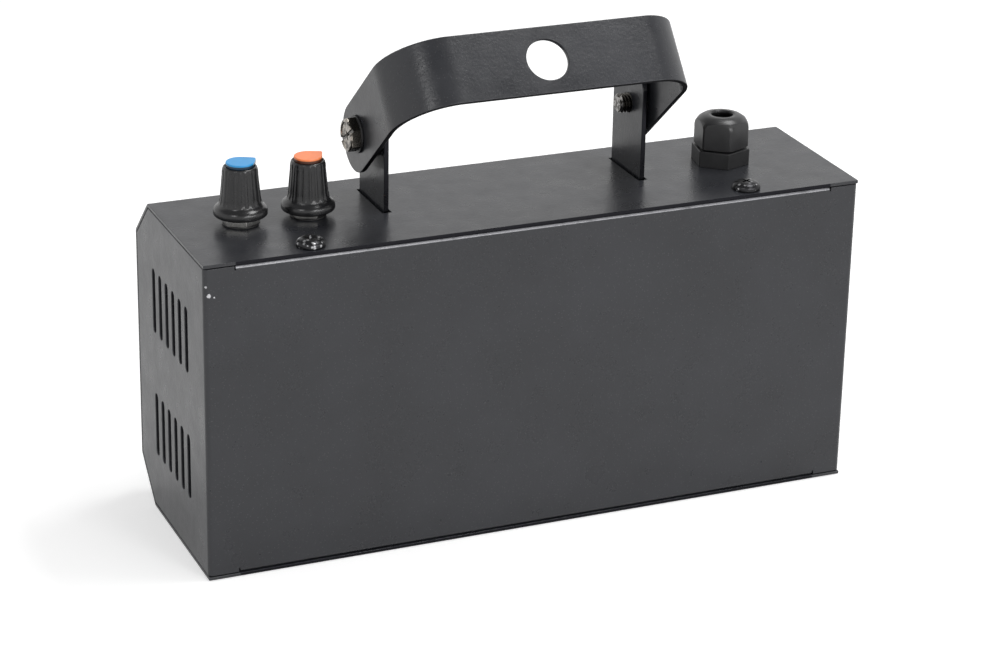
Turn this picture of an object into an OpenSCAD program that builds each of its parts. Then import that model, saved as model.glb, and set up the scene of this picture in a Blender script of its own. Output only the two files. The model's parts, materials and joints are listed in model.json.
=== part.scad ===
// Compact box strobe light on a swinging mounting yoke, in millimetres.
// X runs along the housing, Y points to the rear cover and Z points up.
// The origin is the centre of the housing's footprint, on its flat base.
// The lamp window faces -Y, and the knobs and cable gland stand on the top panel.

/* [Housing] */
// Length of the housing, end to end
case_l = 207; // [200:1:260]
// Depth of the housing, front face to rear cover
case_d = 66.5; // [62:0.5:90]
// Height of the housing, base to top panel
case_h = 98; // [94:1:140]
// Chamfer of the two long front edges, along the depth
chamfer_y = 13; // [8:0.5:16]
// Chamfer of the two long front edges, along the height
chamfer_z = 12.5; // [10:0.5:14]
// Thickness of the housing sheet
sheet_t = 1; // [0.8:0.1:1.3]
// Outside radius of the folded bends
bend_r = 1.5; // [1.4:0.1:2.5]
// Gap between the cover's end plates and the front shell
cover_gap = 0.3; // [0.2:0.05:0.6]
// Depth of the cover's inturned flanges
flange_d = 12.5; // [10:0.5:16]
// Distance from the end of the housing to the end of a flange
flange_end = 9.5; // [6:0.5:14]
// Width of the relief notch at each end of a flange
relief_w = 0.3; // [0.2:0.1:2]
// Depth of the relief notch below the bend
relief_d = 0.1; // [0.1:0.1:3]

/* [Cooling slots] */
// Slots in each row
slot_count = 6; // [3:1:7]
// Spacing of the slots
slot_pitch = 6.3; // [5:0.1:7]
// Width of a slot
slot_w = 2.8; // [1.5:0.1:3.5]
// Length of a slot, round ends included
slot_l = 20.2; // [10:0.2:26]
// Height of each row's centre above or below the middle
slot_row = 20; // [15:0.5:22]

/* [Cover screws] */
// Distance from the gland end of the housing to its cover screws
cover_screw_end_gland = 35.5; // [28:0.1:45]
// Distance from the knob end of the housing to its cover screws
cover_screw_end_knob = 33.4; // [28:0.1:45]
// Distance of a cover screw from the rear edge
cover_screw_inset = 5; // [4:0.5:7]
// Diameter of a cover screw's thread
cover_screw_d = 3.5; // [3:0.1:4]
// Length of a cover screw under its head
cover_screw_l = 8; // [5:0.5:12]
// Diameter of a pan head on the top panel
pan_d = 8.5; // [6:0.1:9]
// Height of a pan head
pan_h = 2.5; // [1.8:0.1:3.2]
// Diameter of a countersunk head under the base
sunk_d = 6.8; // [5:0.1:7]

/* [Lamp window] */
// Width of sheet left at each end of the window
window_side = 13; // [11:0.5:20]
// Width of sheet left above and below the window
window_lip = 7.5; // [7:0.5:12]
// Corner radius of the window
window_r = 4; // [1:0.5:8]
// Gap around the plates of the lamp stack
plate_gap = 2; // [1:0.25:3]
// Thickness of the clear window panel
lens_t = 2; // [1.5:0.1:3]
// Depth of the reflector panel
reflector_t = 10; // [6:0.5:12]
// Spacing of the lamp cups along the housing
cup_pitch_x = 22; // [20:0.5:30]
// Spacing of the lamp cups up the housing
cup_pitch_z = 19; // [18.6:0.1:25]
// Mouth diameter of a lamp cup
cup_d = 18; // [12:0.5:18.4]
// Throat diameter of a lamp cup
cup_throat = 7; // [6.5:0.25:9]
// Thickness of the circuit boards
board_t = 1.6; // [1:0.1:2]
// Thickness of the aluminium plate behind the lamp board
spreader_t = 2; // [1:0.25:3]
// Side of an emitter's square package
emitter_side = 4.2; // [3:0.1:4.6]
// Height of an emitter's package under its dome
emitter_base = 0.8; // [0.5:0.1:1.2]
// Diameter of an emitter's dome
emitter_dome = 3.4; // [2:0.1:3.6]

/* [Lamp stack fasteners] */
// Distance of a stack screw from the end of the housing
stack_inset_x = 6.8; // [6:0.1:7.5]
// Distance of a stack screw from the chamfered edge of the front face
stack_inset_z = 6; // [5:0.25:7]
// Diameter of a stack screw
stack_screw_d = 3; // [2.5:0.5:3]
// Diameter of a stack screw's head
stack_head_d = 5.6; // [5:0.1:6]
// Height of a stack screw's head
stack_head_h = 2.4; // [1.6:0.1:3]
// How far a stack screw turns into its spacer
stack_bite = 4; // [3:0.25:4.5]
// Length of a hexagonal spacer
spacer_l = 10; // [9.5:0.5:12]
// Width across the flats of a spacer
spacer_af = 5.5; // [5:0.25:6]
// Length of the short screws behind the driver board
rear_screw_l = 5; // [4:0.25:5.5]

/* [Driver board] */
// Diameter of a storage capacitor
cap_d = 16; // [10:0.5:18]
// Height of a storage capacitor
cap_h = 22; // [15:0.5:25]
// Width of the transformer's winding
coil_w = 26; // [20:1:30]
// Length of the transformer's core
core_l = 32; // [28:1:40]
// Height of the transformer above the board
core_h = 21; // [14:0.5:24]
// Width of the heat sink
sink_w = 24; // [20:1:34]
// Height of the heat sink above the board
sink_h = 20; // [16:0.5:24]
// Fins on the heat sink
sink_fins = 6; // [4:1:8]
// Length of the fuse
fuse_l = 20; // [15:1:25]
// Diameter of the fuse
fuse_d = 5; // [4:0.25:6.3]

/* [Anchor bracket] */
// Distance from the gland end of the housing to the outer face of its ear
ear_inset_gland = 60.7; // [58.5:0.1:68]
// Distance from the knob end of the housing to the outer face of its ear
ear_inset_knob = 62.4; // [58.5:0.1:68]
// Width of the bracket strap
ear_w = 20.6; // [16:0.2:26]
// Height of an ear above the top panel
ear_h = 32; // [28:0.5:45]
// Thickness of the bracket strap
ear_t = 1.5; // [1.2:0.1:2]
// Radius of an ear's top corners
ear_corner = 5; // [2:0.5:8]
// Gap around an ear in its panel slot
ear_slot_gap = 0.6; // [0.4:0.1:1]
// Height of the pivot above the top panel
pivot_h = 21.25; // [17:0.25:24]

/* [Yoke] */
// Distance from the pivot to the outer face of the crossbar
yoke_reach = 42.6; // [36:0.2:60]
// Width of the yoke strap
yoke_w = 20.5; // [16:0.1:24]
// Thickness of the yoke strap
yoke_t = 1.5; // [1.2:0.1:2]
// Distance from the pivot to the start of a leg's round end
yoke_tail = 3; // [0:0.25:5]
// Outside radius of the bend at the knob end
yoke_bend_knob = 18; // [8:0.5:22]
// Outside radius of the bend at the gland end
yoke_bend_gland = 13; // [8:0.5:22]
// Diameter of the hanging hole
hang_d = 12.7; // [8:0.1:14]
// Tilt of the yoke towards the rear, away from upright
yoke_tilt = 49.6; // [0:0.1:100]

/* [Pivot] */
// Diameter of a pivot bolt
bolt_d = 6; // [5:0.1:6]
// Width across the flats of a pivot bolt's head
bolt_af = 10; // [9:0.1:11]
// Height of a pivot bolt's head
bolt_head_h = 2.6; // [2:0.1:4]
// Thread standing out inside an ear
bolt_tail = 3.6; // [2:0.1:6]
// Diameter of the washer under a bolt head
head_washer_d = 12.4; // [11:0.1:14]
// Thickness of the washer under a bolt head
head_washer_t = 1; // [0.5:0.1:1.6]
// Diameter of the friction washer between ear and yoke
friction_washer_d = 14; // [11:0.2:16]
// Thickness of the friction washer at the ear that is nearest to its leg
friction_washer_t = 1.15; // [0.8:0.05:2]
// Side clearance of the yoke against its washers
rub_gap = 0.1; // [0.05:0.01:0.2]
// Radial clearance of the yoke on its bolts
turn_fit = 0.08; // [0.03:0.01:0.1]

/* [Knobs] */
// Distance from the end of the housing to the first knob
knob_inset = 20.4; // [18:0.1:22]
// Distance between the two knobs
knob_pitch = 20.55; // [20:0.05:22]
// Distance of the knobs behind the middle of the housing
knob_y = 4.85; // [3:0.05:9]
// Height of a knob without its cap
knob_h = 15.6; // [14:0.1:18]
// Diameter of a knob's skirt
knob_skirt_d = 15.8; // [14:0.1:16.4]
// Diameter of a knob's neck above the skirt
knob_neck_d = 11.4; // [11:0.1:13]
// Diameter of a knob's top
knob_top_d = 9.9; // [9.2:0.1:11]
// Height of a knob's skirt
knob_skirt_h = 2.8; // [2:0.1:3.4]
// Height at which a knob's neck starts
knob_neck_z = 4.3; // [4:0.1:6]
// Depth of the hollow under a knob
knob_hollow = 2.6; // [2:0.1:3.5]
// Thickness of a knob's top over its shaft
knob_floor = 3.2; // [1.5:0.1:5]
// Grip ribs around a knob
knob_ribs = 20; // [10:1:24]
// Height that a rib stands proud
rib_h = 0.22; // [0.15:0.01:0.4]
// Radius of the pointed colour cap
cap_r = 4.1; // [3.5:0.05:4.4]
// Height of the colour cap above the knob
cap_t = 0.9; // [0.6:0.1:1.4]
// Height of the blue knob's skirt above the panel
blue_lift = 2.05; // [1.2:0.05:4]
// Height of the orange knob's skirt above the panel
orange_lift = 1.4; // [1.2:0.05:4]
// Direction of the blue pointer, anticlockwise from +X
blue_turn = 198; // [0:1:360]
// Direction of the orange pointer, anticlockwise from +X
orange_turn = 204; // [0:1:360]

/* [Potentiometers] */
// Diameter of a potentiometer's body
pot_d = 17; // [14:0.5:18]
// Height of a potentiometer's body
pot_h = 8.5; // [6:0.25:9]
// Diameter of the threaded bushing
bushing_d = 7; // [6.4:0.1:7.4]
// Width across the flats of a bushing nut
nut_af = 10; // [9:0.1:11]
// Height of a bushing nut
nut_h = 2; // [1.5:0.1:2.1]
// Turn of the blue knob's bushing nut about its axis
blue_nut_turn = 28; // [0:1:60]
// Turn of the orange knob's bushing nut about its axis
orange_nut_turn = 7; // [0:1:60]
// Thickness of a bushing washer
washer_t = 0.5; // [0.3:0.05:0.5]
// Diameter of a bushing washer
washer_d = 10.6; // [10:0.1:11]
// Diameter of a potentiometer shaft
shaft_d = 6; // [5:0.1:6]
// Radial clearance of a shaft in its bushing
shaft_fit = 0.05; // [0.02:0.01:0.09]

/* [Cable gland] */
// Distance from the end of the housing to the gland
gland_inset = 31.7; // [26:0.1:34]
// Distance of the gland behind the middle of the housing
gland_y = 3.2; // [0:0.1:6]
// Width across the flats of the gland body
gland_af = 15; // [14.6:0.1:17]
// Height of the gland body's hexagon
gland_hex_h = 5; // [4:0.1:6]
// Turn of the gland's hexagon about its axis
gland_turn = 19.5; // [0:0.1:60]
// Diameter of the gland's thread
gland_thread_d = 12; // [11.4:0.1:12.2]
// Length of the gland's thread below the hexagon
gland_thread_l = 9; // [7:0.25:10]
// Bore through the gland's thread
gland_bore_d = 8.4; // [7:0.1:9]
// Diameter of the body's neck inside the cap nut
gland_neck_d = 11; // [10.6:0.1:11.8]
// Diameter of the rubber seal
seal_d = 9.6; // [9.2:0.1:10]
// Depth of the seal's seat below the top of the hexagon
seal_sink = 1; // [0.5:0.1:2]
// Width across the flats of the cap nut
gland_cap_af = 14.4; // [14:0.1:16]
// Height of the cap nut
gland_cap_h = 9.6; // [8.6:0.1:12]
// Radius of the cap nut's rounded shoulder
gland_shoulder_r = 4; // [1:0.25:5]
// Thickness of the cap nut's crown
gland_crown_t = 1.6; // [1:0.1:2.5]
// Gap left between the cap nut and the hexagon
gland_cap_gap = 0.5; // [0.2:0.1:1]
// Diameter of the cable hole in the rubber seal
cable_d = 6; // [5:0.1:6.6]
// Height of the lock nut under the panel
locknut_h = 4.5; // [3:0.25:5]

/* [Hidden] */
$fn = 48;

black = "#2b2c2f";
satin_black = "#1d1d20";
nylon_black = "#19191b";
dark_nickel = "#4b4844";
steel = "#b9bbbd";

// Small named allowances that several pieces share
cut = 1;
hole_gap = 0.2;
thread_gap = 0.05;
press_gap = 0.02;

// Outline of the housing section, seen along X, with Y across and Z up
half_d = case_d / 2;
half_l = case_l / 2;
mid_z = case_h / 2;
face_h = case_h - 2 * chamfer_z;
turn_top = atan2(chamfer_z, chamfer_y);
turn_face = 90 - turn_top;

function unit(v) = v / norm(v);
// Number of steps from the middle of a row of count copies to copy i
function centred(i, count) = i - (count - 1) / 2;
// Points of an arc of radius r that rounds the corner p between a and b
function rounded(a, p, b, r, steps = 4) =
    let (
        u = unit(a - p),
        v = unit(b - p),
        half = acos(u * v) / 2,
        c = p + unit(u + v) * r / sin(half),
        s = p + u * r / tan(half) - c,
        e = p + v * r / tan(half) - c,
        start = atan2(s[1], s[0]),
        sweep = (atan2(e[1], e[0]) - start + 540) % 360 - 180
    )
    [for (i = [0:steps]) c + r * [cos(start + sweep * i / steps), sin(start + sweep * i / steps)]];

// Corners of the section at an inset g from the outside, in order from the rear edge of the top
function section_corners(g, rear) = [
    [rear, case_h - g],
    [-half_d + chamfer_y + g * tan(turn_top / 2), case_h - g],
    [-half_d + g, case_h - chamfer_z - g * tan(turn_face / 2)],
    [-half_d + g, chamfer_z + g * tan(turn_face / 2)],
    [-half_d + chamfer_y + g * tan(turn_top / 2), g],
    [rear, g]
];
// The same line with its four bends rounded to radius r
function section_line(g, rear, r) =
    let (c = section_corners(g, rear))
    concat([c[0]], [for (i = [1:4]) each rounded(c[i - 1], c[i], c[i + 1], r)], [c[5]]);
function reversed(list) = [for (i = [len(list) - 1:-1:0]) list[i]];

// Extrudes a Y-Z outline along X from x0 over a length
module along_x(x0, length) {
    translate([x0, 0, 0]) rotate([90, 0, 90]) linear_extrude(height = length) children();
}
// Extrudes an X-Z outline along Y from y0 over a length
module along_y(y0, length) {
    translate([0, y0 + length, 0]) rotate([90, 0, 0]) linear_extrude(height = length) children();
}
module rounded_rect(w, h, r) {
    square([w - 2 * r, h], center = true);
    square([w, h - 2 * r], center = true);
    for (sx = [-1, 1], sy = [-1, 1]) translate([sx * (w / 2 - r), sy * (h / 2 - r)]) circle(r = r);
}
module slot_outline(w, l) {
    square([w, l - w], center = true);
    for (s = [-1, 1]) translate([0, s * (l - w) / 2]) circle(d = w);
}
// Mirrors a shape to both ends: $side is 0 at the gland end and 1 at the knob end
module both_ends() {
    for ($side = [0, 1]) scale([2 * $side - 1, 1, 1]) children();
}
module hexagon_prism(af, h) {
    cylinder(d = af / cos(30), h = h, $fn = 6);
}
module ring(outer_d, inner_d, h) {
    difference() {
        cylinder(d = outer_d, h = h);
        translate([0, 0, -cut]) cylinder(d = inner_d, h = h + 2 * cut);
    }
}

// Places of the cover screws, on the top panel and on the base
cover_screw_x = [cover_screw_end_gland - half_l, half_l - cover_screw_end_knob];
cover_screw_y = half_d - cover_screw_inset;
module at_cover_screws() {
    for (x = cover_screw_x) translate([x, cover_screw_y, 0]) children();
}
// Places of the four screws that hold the lamp stack, as points in X and Z
stack_x = half_l - stack_inset_x;
stack_z = face_h / 2 - stack_inset_z;
module at_stack_screws(y) {
    for (sx = [-1, 1], sz = [-1, 1]) translate([sx * stack_x, y, mid_z + sz * stack_z]) children();
}
module stack_holes_2d(d) {
    for (sx = [-1, 1], sz = [-1, 1]) translate([sx * stack_x, mid_z + sz * stack_z]) circle(d = d);
}
knob_x = [half_l - knob_inset, half_l - knob_inset - knob_pitch];
module at_pots(z) {
    for (x = knob_x) translate([x, knob_y, z]) children();
}
gland_x = -(half_l - gland_inset);
module at_gland(z) {
    translate([gland_x, gland_y, z]) children();
}

// The lamp stack, front to rear
lens_y = -half_d + sheet_t;
reflector_y = lens_y + lens_t;
lamp_board_y = reflector_y + reflector_t;
spreader_y = lamp_board_y + board_t;
spacer_y = spreader_y + spreader_t;
driver_y = spacer_y + spacer_l;
parts_y = driver_y + board_t;
plate_l = case_l - 2 * sheet_t - 2 * plate_gap;
plate_h = face_h - 2 * plate_gap;
window_l = case_l - 2 * window_side;
window_h = face_h - 2 * window_lip;
cups_x = floor(window_l / cup_pitch_x);
cups_z = floor(window_h / cup_pitch_z);
module cup_places() {
    for (i = [0:cups_x - 1], k = [0:cups_z - 1])
        translate([centred(i, cups_x) * cup_pitch_x, 0, mid_z + centred(k, cups_z) * cup_pitch_z])
            children();
}
module stack_plate(y, t, corner = 2) {
    along_y(y, t) difference() {
        translate([0, mid_z]) rounded_rect(plate_l, plate_h, corner);
        stack_holes_2d(stack_screw_d + 2 * hole_gap);
    }
}

// The ears stand outside the strap that lies under the top panel
ear_outs = [half_l - ear_inset_gland, half_l - ear_inset_knob];
ear_bend_r = 0.5;
ear_top = case_h + ear_h;
strap_z = case_h - sheet_t - ear_t;
pivot_z = case_h + pivot_h;
leg_in = max(ear_outs) + friction_washer_t + rub_gap;
leg_out = leg_in + yoke_t;
washer_x = leg_out + rub_gap;
head_x = washer_x + head_washer_t;

// Folded front shell: top panel, chamfers, front face and base in one sheet
module front_shell() {
    color(black) difference() {
        along_x(-half_l, case_l) polygon(concat(
            section_line(0, half_d, bend_r),
            reversed(section_line(sheet_t, half_d, bend_r - sheet_t))
        ));
        along_y(-half_d - cut, sheet_t + 2 * cut) {
            translate([0, mid_z]) rounded_rect(window_l, window_h, window_r);
            stack_holes_2d(stack_screw_d + 2 * hole_gap);
        }
        top_cuts();
        at_cover_screws() {
            translate([0, 0, -cut]) cylinder(d = cover_screw_d + 2 * hole_gap, h = sheet_t + 2 * cut);
            sunk_seat();
        }
    }
}
module top_cuts() {
    translate([0, 0, case_h - sheet_t - cut]) {
        at_cover_screws() cylinder(d = cover_screw_d + 2 * hole_gap, h = sheet_t + 2 * cut);
        at_pots(0) cylinder(d = bushing_d + 2 * hole_gap, h = sheet_t + 2 * cut);
        at_gland(0) cylinder(d = gland_thread_d + 2 * hole_gap, h = sheet_t + 2 * cut);
        both_ends() linear_extrude(height = sheet_t + 2 * cut)
            translate([ear_outs[$side] - ear_t / 2, 0])
                square([ear_t + 2 * ear_slot_gap, ear_w + 2 * ear_slot_gap], center = true);
    }
}
// Seat of a countersunk head in the base, with its wide mouth at z = 0
sunk_h = sheet_t;
module sunk_seat() {
    mouth_d = sunk_d + 2 * thread_gap;
    translate([0, 0, -cut]) cylinder(d = mouth_d, h = cut);
    cylinder(d1 = mouth_d, d2 = cover_screw_d + 2 * thread_gap, h = sunk_h);
}

// Rear cover: rear panel, two end plates and two inturned flanges in one sheet
module cover_wrap_2d() {
    front_y = -half_d + sheet_t + cover_gap;
    difference() {
        union() {
            translate([-half_l, front_y]) square([case_l, half_d - bend_r - front_y]);
            translate([-half_l + bend_r, front_y]) square([case_l - 2 * bend_r, half_d - front_y]);
            for (s = [-1, 1]) translate([s * (half_l - bend_r), half_d - bend_r]) circle(r = bend_r);
        }
        translate([-half_l + sheet_t, front_y - cut])
            square([case_l - 2 * sheet_t, half_d - bend_r - front_y + cut]);
        translate([-half_l + bend_r, front_y - cut])
            square([case_l - 2 * bend_r, half_d - sheet_t - front_y + cut]);
        for (s = [-1, 1])
            translate([s * (half_l - bend_r), half_d - bend_r]) circle(r = bend_r - sheet_t);
    }
}
module flange_outline() {
    // Y-Z outline of the upper flange and its bend
    bend_y = half_d - bend_r;
    bend_z = case_h - sheet_t - bend_r;
    translate([half_d - flange_d, bend_z + bend_r - sheet_t]) square([flange_d - bend_r, sheet_t]);
    translate([half_d - sheet_t, bend_z - relief_d - cut]) square([sheet_t, relief_d + cut]);
    intersection() {
        difference() {
            translate([bend_y, bend_z]) circle(r = bend_r);
            translate([bend_y, bend_z]) circle(r = bend_r - sheet_t);
        }
        translate([bend_y, bend_z]) square(bend_r + cut);
    }
}
module upper_and_lower() {
    children();
    translate([0, 0, case_h]) scale([1, 1, -1]) children();
}
module end_slots() {
    for (i = [0:slot_count - 1], s = [-1, 1])
        translate([centred(i, slot_count) * slot_pitch, mid_z + s * slot_row]) slot_outline(slot_w, slot_l);
}
module rear_cover() {
    g = sheet_t + cover_gap;
    bend_z = case_h - sheet_t - bend_r;
    color(black) difference() {
        union() {
            difference() {
                intersection() {
                    linear_extrude(height = case_h) cover_wrap_2d();
                    along_x(-half_l - cut, case_l + 2 * cut) polygon(section_corners(g, half_d + cut));
                }
                upper_and_lower()
                    translate([-half_l + flange_end - relief_w, half_d - 2 * bend_r, bend_z])
                        cube([case_l - 2 * flange_end + 2 * relief_w, 4 * bend_r, 2 * bend_r + cut]);
                upper_and_lower() both_ends()
                    translate([half_l - flange_end, half_d - 2 * bend_r, bend_z - relief_d])
                        cube([relief_w, 4 * bend_r, relief_d + cut]);
            }
            upper_and_lower() along_x(-half_l + flange_end, case_l - 2 * flange_end) flange_outline();
        }
        along_x(-half_l - cut, case_l + 2 * cut) end_slots();
        at_cover_screws() translate([0, 0, -cut])
            cylinder(d = cover_screw_d + 2 * thread_gap, h = case_h + 2 * cut);
    }
}

// Drive recess of a cross-head screw, cut down from z = 0
module cross_recess(span, depth) {
    for (a = [0, 90]) rotate(a) translate([0, 0, -depth / 2 + cut / 2])
        cube([span, span / 5, depth + cut], center = true);
}
// Pan head standing on z = 0, as a lens-topped turned profile
module pan_head(d, h) {
    side_h = h / 2;
    rotate_extrude() polygon(concat(
        [[0, 0], [d / 2, 0]],
        rounded([d / 2, 0], [d / 2, h], [0, h], h - side_h, 6),
        [[0, h]]
    ));
}
module top_cover_screws() {
    color(satin_black) at_cover_screws() translate([0, 0, case_h]) {
        difference() {
            pan_head(pan_d, pan_h);
            translate([0, 0, pan_h]) cross_recess(pan_d * 0.55, pan_h * 0.6);
        }
        translate([0, 0, -cover_screw_l]) cylinder(d = cover_screw_d, h = cover_screw_l);
    }
}
module base_cover_screws() {
    color(satin_black) at_cover_screws() difference() {
        union() {
            cylinder(d1 = sunk_d, d2 = cover_screw_d, h = sunk_h);
            cylinder(d = cover_screw_d, h = cover_screw_l);
        }
        scale([1, 1, -1]) cross_recess(sunk_d * 0.55, sunk_h * 0.8);
    }
}

module window_panel() {
    color([0.85, 0.9, 0.92, 0.35]) stack_plate(lens_y, lens_t);
}
module reflector_panel() {
    color("#dadcde") difference() {
        stack_plate(reflector_y, reflector_t);
        cup_places() {
            translate([0, reflector_y + reflector_t, 0]) rotate([90, 0, 0])
                cylinder(d1 = cup_throat, d2 = cup_d, h = reflector_t);
            translate([0, reflector_y - cut / 2, 0]) rotate([-90, 0, 0]) cylinder(d = cup_d, h = cut);
            translate([0, reflector_y + reflector_t - cut / 2, 0]) rotate([-90, 0, 0])
                cylinder(d = cup_throat, h = cut);
        }
    }
}
module lamp_board() {
    color("#e9ebe6") stack_plate(lamp_board_y, board_t);
}
module lamp_emitters() {
    color("#f2e9a6") cup_places() {
        translate([-emitter_side / 2, lamp_board_y - emitter_base, -emitter_side / 2])
            cube([emitter_side, emitter_base, emitter_side]);
        intersection() {
            translate([0, lamp_board_y - emitter_base, 0]) sphere(d = emitter_dome);
            translate([-emitter_dome, lamp_board_y - emitter_base - emitter_dome, -emitter_dome])
                cube([2 * emitter_dome, emitter_dome + emitter_base / 2, 2 * emitter_dome]);
        }
    }
}
module heat_spreader() {
    color("#a9acae") stack_plate(spreader_y, spreader_t);
}
module stack_screws() {
    shank = spacer_y + stack_bite + half_d;
    color(satin_black) at_stack_screws(-half_d) rotate([90, 0, 0]) {
        difference() {
            pan_head(stack_head_d, stack_head_h);
            translate([0, 0, stack_head_h]) cross_recess(stack_head_d * 0.55, stack_head_h * 0.6);
        }
        translate([0, 0, -shank]) cylinder(d = stack_screw_d, h = shank);
    }
}
module hex_spacers() {
    color("#c9b26a") at_stack_screws(spacer_y) rotate([-90, 0, 0]) difference() {
        hexagon_prism(spacer_af, spacer_l);
        translate([0, 0, -cut]) cylinder(d = stack_screw_d + 2 * thread_gap, h = spacer_l + 2 * cut);
    }
}
module rear_board_screws() {
    color(steel) at_stack_screws(parts_y) rotate([-90, 0, 0]) {
        difference() {
            pan_head(stack_head_d, stack_head_h);
            translate([0, 0, stack_head_h]) cross_recess(stack_head_d * 0.55, stack_head_h * 0.6);
        }
        translate([0, 0, -rear_screw_l]) cylinder(d = stack_screw_d, h = rear_screw_l);
    }
}

// The driver board carries its parts on the rear face
// Distances of the parts from an end of the board, and from its middle up or down
column_1 = 28.5;
column_2 = 34.5;
column_3 = 66.5;
capacitor_pitch = 21;
capacitor_up = 8;
sink_up = 14;
low_row = 20;
fuse_row = 24;
transformer_off = 8;
// Places of the parts, as X and Z from the board's middle
board_end = plate_l / 2;
capacitor_places = [for (i = [0, 1]) [column_1 + i * capacitor_pitch - board_end, capacitor_up]];
terminal_place = [column_1 - board_end, -low_row];
rectifier_place = [column_3 - board_end, -low_row];
transformer_place = [-transformer_off, 0];
fuse_place = [0, -fuse_row];
heat_sink_place = [board_end - column_3, sink_up];
chip_place = [board_end - column_2, -sink_up];
// Sizes along X, along Z and off the board
transistor_size = [9, 3.5, 15];
rectifier_size = [15, 6, 13];
chip_size = [10, 18, 4];
terminal_size = [16, 12, 13];
module driver_board() {
    color("#2f6b3f") stack_plate(driver_y, board_t);
}
module on_board(place) {
    translate([place[0], parts_y, mid_z + place[1]]) rotate([-90, 0, 0]) children();
}
// Block that stands on the middle of its foot
module block(size) {
    translate([-size[0] / 2, -size[1] / 2, 0]) cube(size);
}
module storage_capacitors() {
    groove_r = 0.8;
    groove_z = 3;
    color("#23324f") for (place = capacitor_places) on_board(place) rotate_extrude() difference() {
        square([cap_d / 2, cap_h]);
        translate([(cap_d + groove_r) / 2, groove_z]) circle(r = groove_r, $fn = 24);
    }
}
core_leg = 6;
core_web = 3;
coil_l = core_l - 2 * core_leg;
module transformer_core() {
    color("#55565a") on_board(transformer_place) difference() {
        block([core_l, coil_w - 2 * core_leg, core_h]);
        translate([0, 0, core_web]) block([coil_l, coil_w, core_h - 2 * core_web]);
    }
}
// The winding fills the core's window, bulges out on both sides and stands on two feet
module transformer_coil() {
    color("#d7a13c") on_board(transformer_place) {
        translate([0, 0, core_web]) block([coil_l, coil_w, core_h - 2 * core_web]);
        for (s = [-1, 1]) translate([0, s * (coil_w - core_leg) / 2, 0])
            block([coil_l, core_leg, core_web]);
    }
}
sink_base = 3;
sink_depth = 14;
fin_t = 1.2;
module heat_sink() {
    fin_pitch = (sink_w - fin_t) / (sink_fins - 1);
    color("#8d9194") on_board(heat_sink_place) translate([-sink_w / 2, -sink_depth / 2, 0]) {
        cube([sink_w, sink_base, sink_h]);
        for (i = [0:sink_fins - 1]) translate([i * fin_pitch, 0, 0]) cube([fin_t, sink_depth, sink_h]);
    }
}
module power_transistors() {
    face = -(sink_depth + transistor_size[1]) / 2;
    color("#26262a") on_board(heat_sink_place)
        for (s = [-1, 1]) translate([s * sink_w / 4, face, 0]) block(transistor_size);
}
module bridge_rectifier() {
    color("#202024") on_board(rectifier_place) block(rectifier_size);
}
module control_chip() {
    color("#1b1b1e") on_board(chip_place) block(chip_size);
}
module mains_terminal() {
    screw_well_d = 4;
    wire_mouth = 4.4;
    wire_z = 3;
    color("#3f8f4a") on_board(terminal_place) difference() {
        block(terminal_size);
        for (s = [-1, 1]) translate([s * terminal_size[0] / 4, 0, wire_z]) {
            translate([0, 0, wire_z]) cylinder(d = screw_well_d, h = terminal_size[2], $fn = 32);
            translate([0, -terminal_size[1] / 2, 0]) block([wire_mouth, 2 * wire_z, wire_mouth]);
        }
    }
}
clip_t = 0.6;
fuse_lift = 2.7;
fuse_z = fuse_lift + fuse_d / 2;
module fuse() {
    color([0.85, 0.88, 0.88, 0.7]) on_board(fuse_place)
        translate([-fuse_l / 2, 0, fuse_z]) rotate([0, 90, 0]) cylinder(d = fuse_d, h = fuse_l, $fn = 32);
}
module fuse_clips() {
    clip_w = 5;
    clip_reach = 1.4;
    lip = 0.4;
    color("#c7b27a") on_board(fuse_place)
        for (s = [-1, 1]) translate([s * (fuse_l - clip_w) / 2, 0, 0]) difference() {
            block([clip_w, fuse_d + 2 * clip_t, fuse_z + clip_reach]);
            translate([-clip_w / 2 - cut, 0, fuse_z]) rotate([0, 90, 0])
                cylinder(d = fuse_d + 2 * press_gap, h = clip_w + 2 * cut, $fn = 32);
            translate([0, 0, fuse_z]) block([clip_w + 2 * cut, fuse_d - 2 * lip, fuse_d]);
        }
}

// Anchor bracket: one strap under the top panel whose ends rise through it as ears
module anchor_outline() {
    // X-Z outline of the strap, seen along Y
    width = ear_outs[0] + ear_outs[1];
    height = ear_top - strap_z;
    translate([-ear_outs[0], strap_z]) difference() {
        cup_outline(width, height, ear_t + ear_bend_r);
        translate([ear_t, ear_t]) cup_outline(width - 2 * ear_t, height, ear_bend_r);
    }
}
module cup_outline(w, h, r) {
    // Rectangle with its two lower corners rounded
    translate([r, 0]) square([w - 2 * r, h]);
    translate([0, r]) square([w, h - r]);
    for (x = [r, w - r]) translate([x, r]) circle(r = r);
}
module ear_side_outline() {
    // Y-Z outline that rounds the ears' top corners
    square_top = ear_top - ear_corner;
    translate([-ear_w / 2, strap_z - cut]) square([ear_w, square_top - strap_z + cut]);
    translate([-ear_w / 2 + ear_corner, square_top - cut])
        square([ear_w - 2 * ear_corner, ear_corner + cut]);
    for (s = [-1, 1]) translate([s * (ear_w / 2 - ear_corner), square_top]) circle(r = ear_corner);
}
module anchor_bracket() {
    color(black) difference() {
        intersection() {
            along_y(-ear_w / 2, ear_w) anchor_outline();
            along_x(-half_l, case_l) ear_side_outline();
        }
        translate([-half_l, 0, pivot_z]) rotate([0, 90, 0])
            cylinder(d = bolt_d + 2 * thread_gap, h = case_l);
    }
}
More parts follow.
